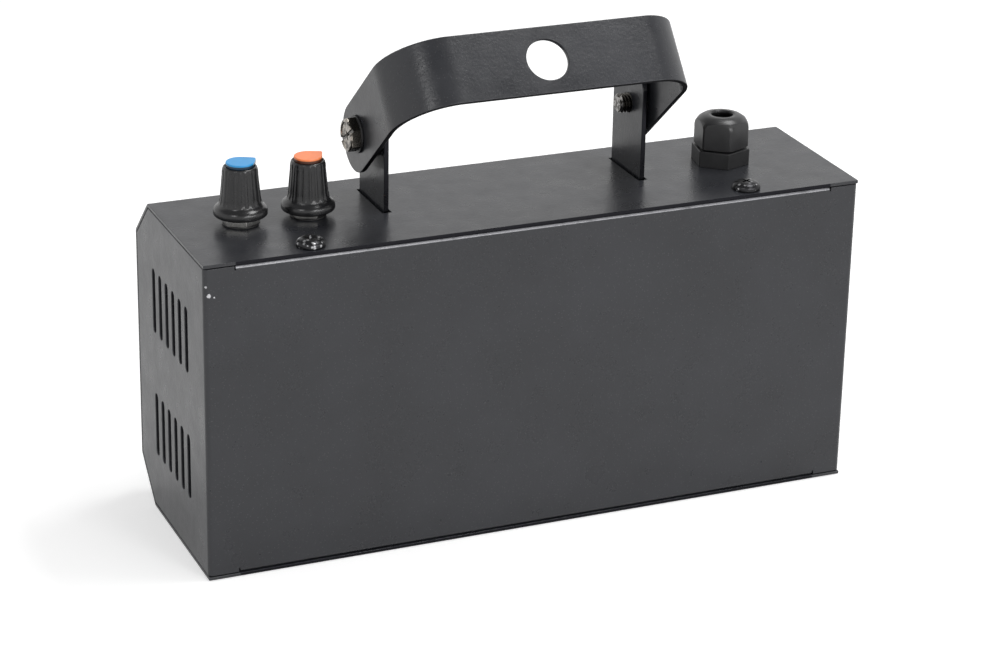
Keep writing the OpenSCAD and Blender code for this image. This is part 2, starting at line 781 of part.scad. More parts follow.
// Puts a turned shape on the pivot axis at both ends, its Z pointing outwards from the middle
module on_pivot() {
    both_ends() translate([0, 0, pivot_z]) rotate([0, 90, 0]) children();
}
module bolt_head() {
    // Hexagon with its outer corners turned away
    corner_r = bolt_af / 2 / cos(30);
    intersection() {
        hexagon_prism(bolt_af, bolt_head_h);
        rotate_extrude() polygon([
            [0, 0], [corner_r + cut, 0], [corner_r + cut, bolt_head_h * 0.7],
            [bolt_af / 2 - 0.2, bolt_head_h], [0, bolt_head_h]
        ]);
    }
}
module pivot_bolts() {
    color(dark_nickel) on_pivot() translate([0, 0, head_x]) {
        shank = head_x - ear_outs[$side] + ear_t + bolt_tail;
        difference() {
            bolt_head();
            translate([0, 0, bolt_head_h]) cross_recess(bolt_af * 0.55, bolt_head_h * 0.6);
        }
        translate([0, 0, -shank]) cylinder(d = bolt_d, h = shank);
    }
}
module head_washers() {
    color(dark_nickel) on_pivot() translate([0, 0, washer_x])
        ring(head_washer_d, bolt_d + 2 * thread_gap, head_washer_t);
}
module friction_washers() {
    color(nylon_black) on_pivot() translate([0, 0, ear_outs[$side]])
        ring(friction_washer_d, bolt_d + 2 * thread_gap, leg_in - rub_gap - ear_outs[$side]);
}

// Yoke: a strap bent into a U, its legs hanging on the pivot bolts
module yoke_outline() {
    // X-Z outline with the pivot at z = 0 and the crossbar above
    bends = [yoke_bend_gland, yoke_bend_knob];
    difference() {
        u_outline(leg_out, yoke_reach, bends);
        u_outline(leg_in, yoke_reach - yoke_t, bends - [yoke_t, yoke_t]);
    }
}
module u_outline(half_w, top, bends) {
    // Rectangle from the leg ends to the crossbar, its two top corners each rounded to its own radius
    low = -yoke_w / 2 - yoke_tail;
    translate([-half_w + bends[0], low]) square([2 * half_w - bends[0] - bends[1], top - low]);
    for (i = [0, 1]) scale([2 * i - 1, 1, 1]) {
        translate([half_w - bends[i], top - bends[i]]) circle(r = bends[i], $fn = 128);
        translate([half_w - bends[i], low]) square([bends[i], top - bends[i] - low]);
    }
}
module yoke_side_outline() {
    // Y-Z outline of the strap's width, with round leg ends below the pivot
    translate([0, -yoke_tail]) circle(d = yoke_w, $fn = 96);
    translate([-yoke_w / 2, -yoke_tail]) square([yoke_w, yoke_tail + yoke_reach + cut]);
}
module yoke() {
    color(black) translate([0, 0, pivot_z]) rotate([-yoke_tilt, 0, 0]) difference() {
        intersection() {
            along_y(-yoke_w / 2 - cut, yoke_w + 2 * cut) yoke_outline();
            along_x(-leg_out - cut, 2 * leg_out + 2 * cut) yoke_side_outline();
        }
        translate([-leg_out - cut, 0, 0]) rotate([0, 90, 0])
            cylinder(d = bolt_d + 2 * turn_fit, h = 2 * leg_out + 2 * cut);
        translate([0, 0, yoke_reach - yoke_t - cut])
            cylinder(d = hang_d, h = yoke_t + 2 * cut, $fn = 96);
    }
}

// Potentiometers hang from the top panel by their bushings
panel_under = case_h - sheet_t;
bushing_proud = 0.8;
bushing_top = case_h + washer_t + nut_h + bushing_proud;
shaft_low = panel_under - pot_h / 2;
module pot_bodies() {
    color("#9a9da0") at_pots(0) difference() {
        union() {
            translate([0, 0, panel_under - pot_h]) cylinder(d = pot_d, h = pot_h);
            translate([0, 0, panel_under - cut])
                cylinder(d = bushing_d, h = bushing_top - panel_under + cut);
        }
        translate([0, 0, shaft_low - thread_gap])
            cylinder(d = shaft_d + 2 * shaft_fit, h = bushing_top - shaft_low + cut);
    }
}
// Three solder lugs stand out of each body towards the rear, their roots on its round wall
module pot_lugs() {
    lug_w = 2;
    lug_t = 0.5;
    lug_reach = 4.5;
    lug_pitch = 5;
    lug_z = 1;
    color("#d5d6d8") at_pots(panel_under - pot_h + lug_z) difference() {
        for (i = [-1:1]) translate([i * lug_pitch - lug_w / 2, 0, 0])
            cube([lug_w, pot_d / 2 + lug_reach, lug_t]);
        translate([0, 0, -cut]) cylinder(d = pot_d, h = lug_t + 2 * cut);
    }
}
module pot_washers() {
    color(steel) at_pots(case_h) ring(washer_d, bushing_d + 2 * thread_gap, washer_t);
}
module pot_nuts() {
    turns = [blue_nut_turn, orange_nut_turn];
    color("#c4c6c8") for (i = [0, 1])
        translate([knob_x[i], knob_y, case_h + washer_t]) rotate(turns[i]) difference() {
            hexagon_prism(nut_af, nut_h);
            translate([0, 0, -cut]) cylinder(d = bushing_d + 2 * thread_gap, h = nut_h + 2 * cut);
        }
}

// A shaft, knob and pointed cap turn together about the potentiometer's axis
skirt_foot_r = 1.2;
skirt_top_r = 0.9;
flare_r = 1.2;
knob_edge_r = 0.6;
rib_w = 0.6;
nut_room = 0.4;
hollow_r = nut_af / 2 / cos(30) + nut_room;
module knob_shaft(x, lift) {
    translate([x, knob_y, shaft_low])
        cylinder(d = shaft_d, h = case_h + lift + knob_h - knob_floor - shaft_low);
}
module knob_body(x, lift, turn) {
    skirt_r = knob_skirt_d / 2;
    neck_r = knob_neck_d / 2;
    top_r = knob_top_d / 2;
    foot = [skirt_r, 0];
    skirt_high = [skirt_r, knob_skirt_h];
    neck = [neck_r, knob_neck_z];
    top = [top_r, knob_h];
    translate([x, knob_y, case_h + lift]) rotate(turn) {
        difference() {
            rotate_extrude() polygon(concat(
                [[0, 0]],
                rounded([0, 0], foot, skirt_high, skirt_foot_r),
                rounded(foot, skirt_high, neck, skirt_top_r),
                rounded(skirt_high, neck, top, flare_r),
                rounded(neck, top, [0, knob_h], knob_edge_r, 3),
                [[0, knob_h]]
            ));
            translate([0, 0, -cut]) cylinder(r = hollow_r, h = knob_hollow + cut);
            translate([0, 0, -cut])
                cylinder(d = shaft_d + 2 * press_gap, h = knob_h - knob_floor + press_gap + cut);
        }
        for (i = [0.5:knob_ribs]) rotate(i * 360 / knob_ribs) along_y(-rib_w / 2, rib_w) polygon([
            [neck_r - rib_w, knob_neck_z + rib_h], [neck_r + rib_h, knob_neck_z + rib_w],
            [top_r + rib_h, knob_h - 2 * rib_w], [top_r - rib_w, knob_h - rib_w]
        ]);
    }
}
module pointed_cap(x, lift, turn) {
    // A round button with one square corner that points
    translate([x, knob_y, case_h + lift + knob_h]) rotate(turn - 45) linear_extrude(height = cap_t) {
        circle(r = cap_r);
        square(cap_r);
    }
}
module blue_shaft() {
    color(steel) knob_shaft(knob_x[0], blue_lift);
}
module blue_knob() {
    color(nylon_black) knob_body(knob_x[0], blue_lift, blue_turn);
}
module blue_cap() {
    color("#3f9bd3") pointed_cap(knob_x[0], blue_lift, blue_turn);
}
module orange_shaft() {
    color(steel) knob_shaft(knob_x[1], orange_lift);
}
module orange_knob() {
    color(nylon_black) knob_body(knob_x[1], orange_lift, orange_turn);
}
module orange_cap() {
    color("#ff9a62") pointed_cap(knob_x[1], orange_lift, orange_turn);
}

// Cable gland: body through the panel, rubber seal, cap nut and lock nut
crown_gap = 0.6;
mouth_gap = 0.4;
gland_low = panel_under - gland_thread_l;
gland_top = case_h + gland_hex_h;
seal_low = gland_top - seal_sink;
cap_low = gland_top + gland_cap_gap;
cap_high = cap_low + gland_cap_h;
neck_top = cap_high - gland_crown_t - crown_gap;
module gland_body() {
    color(nylon_black) at_gland(0) difference() {
        union() {
            translate([0, 0, case_h]) rotate(gland_turn) hexagon_prism(gland_af, gland_hex_h);
            translate([0, 0, gland_low]) cylinder(d = gland_thread_d, h = case_h + cut - gland_low);
            translate([0, 0, case_h + cut]) cylinder(d = gland_neck_d, h = neck_top - case_h - cut);
        }
        translate([0, 0, gland_low - cut]) cylinder(d = gland_bore_d, h = neck_top - gland_low + 2 * cut);
        translate([0, 0, seal_low]) cylinder(d = seal_d + 2 * press_gap, h = neck_top - seal_low + cut);
    }
}
module gland_seal() {
    color("#101012") at_gland(seal_low) ring(seal_d, cable_d, neck_top - seal_low);
}
module gland_cap_nut() {
    // The hexagon's corners are turned down a little all round
    cap_turn = gland_turn + 4;
    corner_trim = 0.1;
    cap_r_out = gland_cap_af / cos(30) / 2 - corner_trim;
    crown_z = gland_cap_h - gland_crown_t;
    color(nylon_black) at_gland(cap_low) difference() {
        intersection() {
            rotate(cap_turn) hexagon_prism(gland_cap_af, gland_cap_h);
            rotate_extrude() polygon(concat(
                [[0, 0], [cap_r_out, 0]],
                rounded([cap_r_out, 0], [cap_r_out, gland_cap_h], [0, gland_cap_h], gland_shoulder_r, 6),
                [[0, gland_cap_h]]
            ));
        }
        translate([0, 0, -cut]) cylinder(d = gland_neck_d + 2 * thread_gap, h = crown_z + cut);
        translate([0, 0, -cut]) cylinder(d = cable_d + 2 * mouth_gap, h = gland_cap_h + 2 * cut);
    }
}
module gland_locknut() {
    color(nylon_black) at_gland(panel_under - locknut_h) difference() {
        rotate(gland_turn) hexagon_prism(gland_af, locknut_h);
        translate([0, 0, -cut]) cylinder(d = gland_thread_d + 2 * thread_gap, h = locknut_h + 2 * cut);
    }
}

front_shell();
rear_cover();
top_cover_screws();
base_cover_screws();
window_panel();
reflector_panel();
lamp_board();
lamp_emitters();
heat_spreader();
stack_screws();
hex_spacers();
rear_board_screws();
driver_board();
storage_capacitors();
transformer_core();
transformer_coil();
heat_sink();
power_transistors();
bridge_rectifier();
control_chip();
mains_terminal();
fuse_clips();
fuse();
anchor_bracket();
pivot_bolts();
head_washers();
friction_washers();
yoke();
pot_bodies();
pot_lugs();
pot_washers();
pot_nuts();
blue_shaft();
blue_knob();
blue_cap();
orange_shaft();
orange_knob();
orange_cap();
gland_body();
gland_seal();
gland_cap_nut();
gland_locknut();
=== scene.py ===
"""Finishes and fine detail for a compact box strobe light on a swinging yoke.

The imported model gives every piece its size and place. This script softens the
folded sheet metal, turns the threads and heads of the fasteners, moulds the
knobs and the cable gland, dresses the lamp stack and the driver board, and
sets up a plain studio.
"""
import json
import math

import bmesh
import bpy
from bpy.props import FloatProperty, FloatVectorProperty, IntProperty, PointerProperty
from bpy.types import Operator, Panel, PropertyGroup
from mathutils import Matrix, Quaternion, Vector


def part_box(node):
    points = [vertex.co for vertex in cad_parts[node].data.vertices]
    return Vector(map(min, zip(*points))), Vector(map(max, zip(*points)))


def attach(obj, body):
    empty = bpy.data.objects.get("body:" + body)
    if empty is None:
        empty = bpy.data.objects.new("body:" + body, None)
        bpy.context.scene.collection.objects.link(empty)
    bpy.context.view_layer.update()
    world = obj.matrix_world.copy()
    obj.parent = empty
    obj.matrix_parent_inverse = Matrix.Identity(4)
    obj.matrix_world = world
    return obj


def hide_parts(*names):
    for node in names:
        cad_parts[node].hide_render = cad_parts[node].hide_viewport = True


bl_info = {
    "name": "Strobe light",
    "version": (1, 0, 0),
    "blender": (4, 5, 0),
    "location": "3D View > Sidebar > Strobe light",
    "description": "Dresses the strobe light's pieces and sets up its studio",
    "category": "Object",
}

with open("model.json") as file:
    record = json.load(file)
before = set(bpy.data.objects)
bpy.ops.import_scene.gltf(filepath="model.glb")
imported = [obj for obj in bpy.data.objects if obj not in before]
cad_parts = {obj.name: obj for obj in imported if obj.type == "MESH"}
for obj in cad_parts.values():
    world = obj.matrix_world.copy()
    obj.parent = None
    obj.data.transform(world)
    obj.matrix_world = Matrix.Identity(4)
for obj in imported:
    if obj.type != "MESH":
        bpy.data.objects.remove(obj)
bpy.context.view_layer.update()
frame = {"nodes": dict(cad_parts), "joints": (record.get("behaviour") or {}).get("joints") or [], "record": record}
NODES = frame["nodes"]
RECORD = frame["record"]
BODY_OF = {node: body for body, names in RECORD["behaviour"]["bodies"].items() for node in names}
SLOT_OF = {part["node"]: part["material_slot"] for part in RECORD["subparts"]}
AXIS_OF = {joint["name"]: Vector(joint["pos_m"]) for joint in frame["joints"]}
MM = 0.001
# Points closer than this are one point
WELD = 0.0005 * MM
# A twelfth of a turn brings a hexagon's flat to where its corner was
TWELFTH = math.pi / 6
# A hexagon's width across its flats as a share of its width across its corners
FLATS = math.cos(TWELFTH)


class Value:
    """A shader socket that takes part in Python arithmetic."""

    def __init__(self, shader, socket):
        self.shader = shader
        self.socket = socket

    def maths(self, operation, *values, clamp=False):
        """The result of a Math node on numbers and values."""
        settings = {"operation": operation, "use_clamp": clamp}
        return self.shader.node("ShaderNodeMath", settings, dict(enumerate(values)))

    def __add__(self, other):
        return self.maths("ADD", self, other)

    def __radd__(self, other):
        return self.maths("ADD", other, self)

    def __sub__(self, other):
        return self.maths("SUBTRACT", self, other)

    def __rsub__(self, other):
        return self.maths("SUBTRACT", other, self)

    def __mul__(self, other):
        return self.maths("MULTIPLY", self, other)

    def __rmul__(self, other):
        return self.maths("MULTIPLY", other, self)

    def __truediv__(self, other):
        return self.maths("DIVIDE", self, other)

    def __pow__(self, other):
        return self.maths("POWER", self, other)

    def __lt__(self, other):
        return self.maths("LESS_THAN", self, other)

    def __gt__(self, other):
        return self.maths("GREATER_THAN", self, other)

    def clamped(self):
        """The value kept between 0 and 1."""
        return self.maths("ADD", self, 0.0, clamp=True)

    def wrapped(self, period):
        """The value less as many whole periods as fit into it."""
        return self.maths("WRAP", self, period, 0.0)

    def size(self):
        """The value without its sign."""
        return self.maths("ABSOLUTE", self)


class Shader:
    """The node tree of a material or a world, built by calls."""

    def __init__(self, name, kind="materials"):
        self.owner = getattr(bpy.data, kind).new(name)
        self.owner.use_nodes = True
        self.tree = self.owner.node_tree
        self.tree.nodes.clear()
        self.coordinates = None

    def node(self, kind, settings=None, sockets=None, out=0):
        """A node with its settings and the values or links of its sockets; gives back one of its outputs."""
        made = self.tree.nodes.new(kind)
        for name, value in (settings or {}).items():
            setattr(made, name, value)
        for key, value in (sockets or {}).items():
            if isinstance(value, Value):
                self.tree.links.new(value.socket, made.inputs[key])
            else:
                made.inputs[key].default_value = value
        return Value(self, made.outputs[out]) if len(made.outputs) else None

    def outputs(self, made, *keys):
        """More outputs of the node that a value comes from."""
        return [Value(self, made.socket.node.outputs[key]) for key in keys]

    def here(self):
        """Object coordinates, in metres."""
        if self.coordinates is None:
            self.coordinates = self.node("ShaderNodeTexCoord", out=3)
        return self.coordinates

    def placed(self, place=(0, 0, 0), scale=(1, 1, 1)):
        """Object coordinates moved and scaled."""
        sockets = {"Vector": self.here(), "Location": place, "Scale": scale}
        return self.node("ShaderNodeMapping", {"vector_type": "TEXTURE"}, sockets)

    def parts(self, vector=None):
        """The X, Y and Z of a vector, or else of Object coordinates."""
        split = self.node("ShaderNodeSeparateXYZ", None, {"Vector": vector or self.here()})
        return self.outputs(split, 0, 1, 2)

    def rays(self):
        """1 for rays from the camera, from mirrors and through glass, in this order."""
        path = self.node("ShaderNodeLightPath")
        return self.outputs(path, "Is Camera Ray", "Is Glossy Ray", "Is Transmission Ray")

    def noise(self, grain, detail=2.0, roughness=0.5, vector=None):
        """Noise whose features are about grain metres across."""
        sockets = {
            "Vector": vector or self.here(), "Scale": 1 / grain, "Detail": detail, "Roughness": roughness,
        }
        return self.node("ShaderNodeTexNoise", None, sockets)

    def cells(self, grain, randomness=1.0):
        """Distance to the middle of the nearest cell, in cells about grain metres across."""
        sockets = {"Vector": self.here(), "Scale": 1 / grain, "Randomness": randomness}
        return self.node("ShaderNodeTexVoronoi", None, sockets)

    def span(self, value, low, high, out_low=0.0, out_high=1.0):
        """Maps low..high smoothly to out_low..out_high and stops at both ends."""
        sockets = {0: value, 1: low, 2: high, 3: out_low, 4: out_high}
        return self.node("ShaderNodeMapRange", {"interpolation_type": "SMOOTHSTEP"}, sockets)

    def mix(self, mask, first, second):
        """A colour between first, where the mask is 0, and second, where it is 1."""
        sockets = {0: mask, 6: colour(first), 7: colour(second)}
        return self.node("ShaderNodeMix", {"data_type": "RGBA"}, sockets, out=2)

    def clouded(self, grain, first, second, low=0.3, high=0.7):
        """Two colours in soft clouds."""
        return self.mix(self.span(self.noise(grain, detail=3.0, roughness=0.6), low, high), first, second)

    def bump(self, height, depth):
        """A bump of height times depth metres."""
        return self.node("ShaderNodeBump", None, {"Height": height, "Distance": depth})

    def finish(self, **sockets):
        """Ends the material with a Principled shader."""
        titles = {name: name.replace("_", " ").title().replace("Ior", "IOR") for name in sockets}
        named = {titles[name]: value for name, value in sockets.items()}
        return self.output(self.node("ShaderNodeBsdfPrincipled", None, named))

    def output(self, surface, kind="Material"):
        """Ends the tree with a surface and gives back its material or world."""
        self.node("ShaderNodeOutput" + kind, None, {"Surface": surface})
        return self.owner


def rgba(value):
    """A colour with its alpha, from a grey level or from three or four numbers."""
    if isinstance(value, (int, float)):
        return (value, value, value, 1.0)
    return (*tuple(value)[:3], 1.0)


def colour(value):
    """What a colour socket takes: a link, or else a colour with its alpha."""
    return value if isinstance(value, Value) else rgba(value)


def scaled(value, factor):
    """A colour made deeper or paler."""
    return tuple(factor * channel for channel in value)


def swatch(name, description, default):
    """A colour setting."""
    return FloatVectorProperty(
        name=name, description=description, subtype="COLOR", size=3, min=0, max=1, default=default,
    )


def length(name, description, millimetres):
    """A setting in metres whose default is given in millimetres."""
    return FloatProperty(
        name=name, description=description, subtype="DISTANCE", unit="LENGTH", min=0, precision=5,
        default=millimetres * MM,
    )


def turning(name, description, degrees):
    """An angle, whose default is given in degrees."""
    return FloatProperty(
        name=name, description=description, subtype="ANGLE", unit="ROTATION", default=math.radians(degrees),
    )


def share(name, description, default):
    """A setting from 0 to 1."""
    return FloatProperty(name=name, description=description, subtype="FACTOR", min=0, max=1, default=default)


def number(name, description, default):
    """A setting without a unit, or whose description names it."""
    return FloatProperty(name=name, description=description, min=0, default=default)


class FinishSettings(PropertyGroup):
    """Colours and grain of the light's finishes."""

    powder: swatch("Powder coat", "Colour of the housing, bracket and yoke", (0.021, 0.022, 0.026))
    powder_grain: length("Powder grain", "Width of the powder coat's orange peel", 0.9)
    powder_depth: length("Powder depth", "Height of the powder coat's orange peel", 0.035)
    powder_roughness: share("Powder roughness", "Roughness of the powder coat", 0.3)
    # Painted shade on the cut edges of the sheet
    cut_edge: swatch("Cut edge", "Colour of the thin coat on the sheet's cut edges", (0.018, 0.018, 0.021))
    # Painted highlight: a pale line along the rear cover's upper bend
    rubbed: swatch("Rubbed bend", "Colour of the line along the rear cover's upper bend", (0.28, 0.28, 0.30))
    chip: swatch("Paint chip", "Colour of bare spots on the rear cover", (0.6, 0.6, 0.62))
    knob: swatch("Knob plastic", "Colour of the knobs", (0.011, 0.011, 0.012))
    blue: swatch("Blue cap", "Colour of the blue knob's cap", (0.035, 0.33, 0.70))
    orange: swatch("Orange cap", "Colour of the orange knob's cap", (1.0, 0.27, 0.09))
    nylon: swatch("Gland nylon", "Colour of the cable gland", (0.017, 0.017, 0.018))
    nickel: swatch("Dark nickel", "Colour of the pivot bolts", (0.20, 0.185, 0.165))


class DetailSettings(PropertyGroup):
    """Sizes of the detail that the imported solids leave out."""

    sheet_edge: length("Sheet edge", "Rounding of the folded sheet's edges", 0.22)
    strap_edge: length("Strap edge", "Rounding of the yoke's and bracket's edges", 0.25)
    small_edge: length("Small edge", "Rounding of washers, nuts and moulded parts", 0.15)
    flange_end: length("Flange end", "Distance from the housing's end to the end of the bent flange", 9.5)
    bolt_pitch: length("Bolt pitch", "Pitch of the pivot bolts' thread", 1.0)
    screw_pitch: length("Screw pitch", "Pitch of the small screws' thread", 0.7)
    gland_pitch: length("Gland pitch", "Pitch of the cable gland's thread", 1.5)
    dish: length("Dished head", "Depth of the dish in a pivot bolt's head", 0.45)
    bolt_rim: length("Bolt rim", "Width of the rim round a pivot bolt's dish", 0.55)
    bolt_slot: length("Bolt slot", "Width of the slot across a pivot bolt's head", 1.15)
    bolt_share: share("Bolt head share", "Width of a pivot bolt's head as a share of its solid's", 0.92)
    bolt_washer: length("Bolt washer", "Thickness of the washer under a pivot bolt's head", 0.6)
    bolt_washer_width: length("Bolt washer width", "Diameter of the washer under a pivot bolt's head", 11.2)
    bolt_turn: turning("Bolt turn", "Direction of a pivot bolt's slot", 32)
    screw_turn: turning("Screw turn", "Direction of the cover screws' recesses", 24)
    blue_nut_turn: turning("Blue nut turn", "Turn of the nut under the blue knob", 28)
    orange_nut_turn: turning("Orange nut turn", "Turn of the nut under the orange knob", 37)
    gland_flats: length("Gland flats", "Width across the flats of the cable gland's hexagon", 15.8)
    gland_cap_flats: length("Gland cap flats", "Width across the flats of the gland's cap nut", 14.8)
    gland_turn: turning("Gland turn", "Turn of the cable gland's hexagon", 19.5)
    knob_ribs: IntProperty(name="Knob ribs", description="Grip ribs round a knob", min=6, default=20)
    rib_height: length("Rib height", "Height of a knob's grip ribs", 0.2)
    blue_gap: length("Blue gap", "Height of the blue skirt above its solid's lower end", 0.85)
    orange_gap: length("Orange gap", "Height of the orange skirt above its solid's lower end", 0.7)
    cap_crown: length("Cap crown", "Height of a knob's cap above its solid's top", 0.4)
    blue_pointer: turning("Blue pointer", "Direction of the blue cap's pointer from +X", 198)
    orange_pointer: turning("Orange pointer", "Direction of the orange cap's pointer from +X", 204)


def powder_coat(settings, name, chips=(), cuts=(), bend=None, reach=None):
    """Satin black powder coat with fine orange peel, with painted shade on the sheet's cut edges.

    A chip is its place and size. A cut is a direction, and how far along it the cut edge and its painted shade
    begin. A bend is the place of a fold along X that gets a painted highlight line, and that line's width. The
    reach is how far along X, either way, the painted highlight and the painted edge shade go.
    """
    shader = Shader(name)
    peel = shader.noise(settings.powder_grain, detail=1.5, roughness=0.45)
    dust = shader.noise(settings.powder_grain * 0.33, detail=1.0)
    cloud = shader.noise(35 * MM, detail=3.0, roughness=0.6)
    rub = shader.noise(9 * MM, detail=4.0, roughness=0.65)
    deep, pale = scaled(settings.powder, 0.86), scaled(settings.powder, 1.16)
    speck = shader.span(shader.cells(settings.powder_grain * 1.1), 0.10, 0.22, 0.35, 0.0)
    base = shader.mix(speck, shader.mix(shader.span(cloud, 0.3, 0.7), deep, pale), (0.10, 0.10, 0.105))
    roughness = settings.powder_roughness + (rub - 0.5) * 0.24 + (cloud - 0.5) * 0.08
    height = peel + dust * 0.3 + shader.noise(7 * MM, detail=2.0) * 2.0
    x, y, z = shader.parts()
    inside = x.size() < reach if reach else 1.0
    for place, size in chips:
        along, out, up = shader.parts(shader.placed(place))
        ragged = (shader.noise(size * 0.9) - 0.5) * size * 1.1
        distance = (along * along + up * up) ** 0.5 + ragged
        bare = shader.span(distance, size * 0.55, size * 0.8, 1.0, 0.0) * (out.size() < 2 * MM)
        base = shader.mix(bare, base, settings.chip)
        height = height - bare * 4.0
    # A painted highlight: a pale, patchy line along the fold
    if bend:
        place, width = bend
        out, up = shader.parts(shader.placed(place))[1:]
        patchy = shader.span(shader.noise(4 * MM, detail=3.0, roughness=0.6), 0.25, 0.5, 0.55, 1.0)
        rubbed = shader.span((out * out + up * up) ** 0.5, width * 0.6, width, 1.0, 0.0) * patchy * inside
        base = shader.mix(rubbed, base, settings.rubbed)
        roughness = roughness - rubbed * 0.08
    # Painted shade on the cut edge faces: a darker, metallic base that keeps them dark
    edge_shade_mask = 0.0
    for way, beyond in cuts:
        edge_shade_mask = edge_shade_mask + (x * way[0] + y * way[1] + z * way[2] > beyond)
    if cuts:
        edge_shade_mask = edge_shade_mask.clamped() * inside
        base = shader.mix(edge_shade_mask, base, settings.cut_edge)
    normal = shader.bump(height, settings.powder_depth)
    return shader.finish(base_color=base, metallic=edge_shade_mask, roughness=roughness, normal=normal)


def bolt_nickel(tint, middle, tips, faces):
    """Dark nickel with a brownish tint, with painted shade on the bolts' sides and shanks and a few painted
    highlights at their tips.

    Tips is how far the tips lie from the middle along X, and faces how far the heads' faces lie from X = 0.
    """
    shader = Shader("finish_bolt_nickel")
    x = shader.parts()[0]
    base = shader.clouded(1.3 * MM, scaled(tint, 0.4), scaled(tint, 2.2), 0.38, 0.62)
    # Painted shade: all but the heads' faces much darker
    base = shader.mix(x.size() < faces, base, scaled(tint, 0.3))
    # Painted highlights: bright spots near the tips
    painted_tip_highlights = shader.span(shader.noise(0.9 * MM), 0.4, 0.65) * ((x - middle).size() < tips + 0.75 * MM)
    base = shader.mix(painted_tip_highlights, base, (0.34, 0.33, 0.32))
    roughness = 0.20 + shader.noise(0.8 * MM) * 0.14
    normal = shader.bump(shader.noise(0.25 * MM), 0.004 * MM)
    return shader.finish(base_color=base, metallic=1.0, roughness=roughness, normal=normal)


def black_zinc(name):
    """Black zinc plating on pressed screw heads, with bright specks painted on as glints."""
    shader = Shader(name)
    ragged = shader.cells(1.5 * MM) + (shader.noise(0.7 * MM, detail=3.0) - 0.5) * 0.3
    # Painted highlights: small bright specks
    painted_glints = shader.span(ragged, 0.22, 0.36, 1.0, 0.0)
    base = shader.mix(painted_glints, (0.03, 0.03, 0.032), (0.42, 0.42, 0.43))
    normal = shader.bump(shader.noise(0.5 * MM), 0.02 * MM)
    return shader.finish(base_color=base, metallic=0.85, roughness=0.30 - painted_glints * 0.05, normal=normal)


def plated(name, tint, rough):
    """Bright plated steel, slightly clouded."""
    shader = Shader(name)
    cloud = shader.noise(1.2 * MM, detail=3.0, roughness=0.6)
    base = shader.mix(shader.span(cloud, 0.3, 0.75), tint, scaled(tint, 0.72))
    normal = shader.bump(shader.noise(0.2 * MM), 0.002 * MM)
    return shader.finish(base_color=base, metallic=1.0, roughness=rough + cloud * 0.12, normal=normal)


def brushed(name, tint, rough):
    """Sheet or bar with fine brushing along X."""
    shader = Shader(name)
    lines = shader.noise(0.05 * MM, detail=3.0, roughness=0.7, vector=shader.placed(scale=(1, 0.04, 0.04)))
    cloud = shader.span(shader.noise(5 * MM, detail=3.0), 0.3, 0.7)
    base = shader.mix(cloud, tint, scaled(tint, 0.8))
    normal = shader.bump(lines, 0.003 * MM)
    return shader.finish(base_color=base, metallic=1.0, roughness=rough + lines * 0.12, normal=normal)


def mirrored(name):
    """Vacuum-metallised plastic of the reflector cups."""
    shader = Shader(name)
    cloud = shader.noise(6 * MM, detail=3.0, roughness=0.6)
    base = shader.mix(shader.span(cloud, 0.3, 0.7), (0.62, 0.63, 0.64), (0.72, 0.72, 0.72))
    normal = shader.bump(shader.noise(2.5 * MM), 0.01 * MM)
    return shader.finish(base_color=base, metallic=1.0, roughness=0.07 + cloud * 0.08, normal=normal)


def moulded(name, tint, rough, grain=0.3 * MM, depth=0.003 * MM, pale=None, shoulder=None):
    """Moulded plastic with a faint skin texture and flow marks, with painted shade below a shoulder where one is
    given.
    """
    shader = Shader(name)
    pale = pale or tuple(min(1.0, 1.12 * channel + 0.002) for channel in tint)
    base = shader.clouded(4 * MM, scaled(tint, 0.9), pale)
    if shoulder:
        # Painted shade on the side below the shoulder
        side = shader.span(shader.parts()[2], shoulder - 0.1 * MM, shoulder + 0.1 * MM, 1.0, 0.0)
        base = shader.mix(side, base, scaled(tint, 0.07))
    roughness = rough + (shader.noise(1.5 * MM, detail=3.0) - 0.5) * 0.12
    normal = shader.bump(shader.noise(grain), depth)
    return shader.finish(base_color=base, roughness=roughness, normal=normal)


def near_black_matt(name):
    """A near-black matt finish for plain washers."""
    return moulded(name, (0.014, 0.014, 0.015), 0.42, depth=0.004 * MM)


def clear(name, tint, ior, wipes, clean, smeared, rough):
    """Clear glass or acrylic with a few faint wipe marks."""
    shader = Shader(name)
    roughness = shader.span(shader.noise(*wipes), clean, smeared, *rough)
    return shader.finish(base_color=rgba(tint), roughness=roughness, ior=ior, transmission_weight=1.0)


def circuit_board(name, mask_colour, track_colour, rough):
    """Solder mask with raised tracks that run at right angles and small plated holes."""
    shader = Shader(name)
    x, z = shader.parts()[::2]
    lane = shader.noise(9 * MM, detail=0.0) * 14.0
    along = ((x + lane * 0.4 * MM) / (1.6 * MM)).wrapped(1.0)
    across = ((z + lane * 0.3 * MM) / (1.9 * MM)).wrapped(1.0)
    field = shader.noise(7 * MM, detail=1.0)
    tracks = shader.span((along - 0.5).size(), 0.16, 0.20, 1.0, 0.0) * (field > 0.55)
    tracks = tracks + shader.span((across - 0.5).size(), 0.16, 0.20, 1.0, 0.0) * (field < 0.45)
    tracks = tracks.clamped()
    holes = shader.span(shader.cells(3.2 * MM, randomness=0.6), 0.10, 0.14, 1.0, 0.0)
    base = shader.mix(holes, shader.mix(tracks, mask_colour, track_colour), (0.62, 0.62, 0.60))
    normal = shader.bump(tracks * 0.5 + holes * 0.6, 0.04 * MM)
    return shader.finish(
        base_color=base, metallic=holes * 0.9, roughness=rough, normal=normal, coat_weight=0.3,
        coat_roughness=0.1,
    )


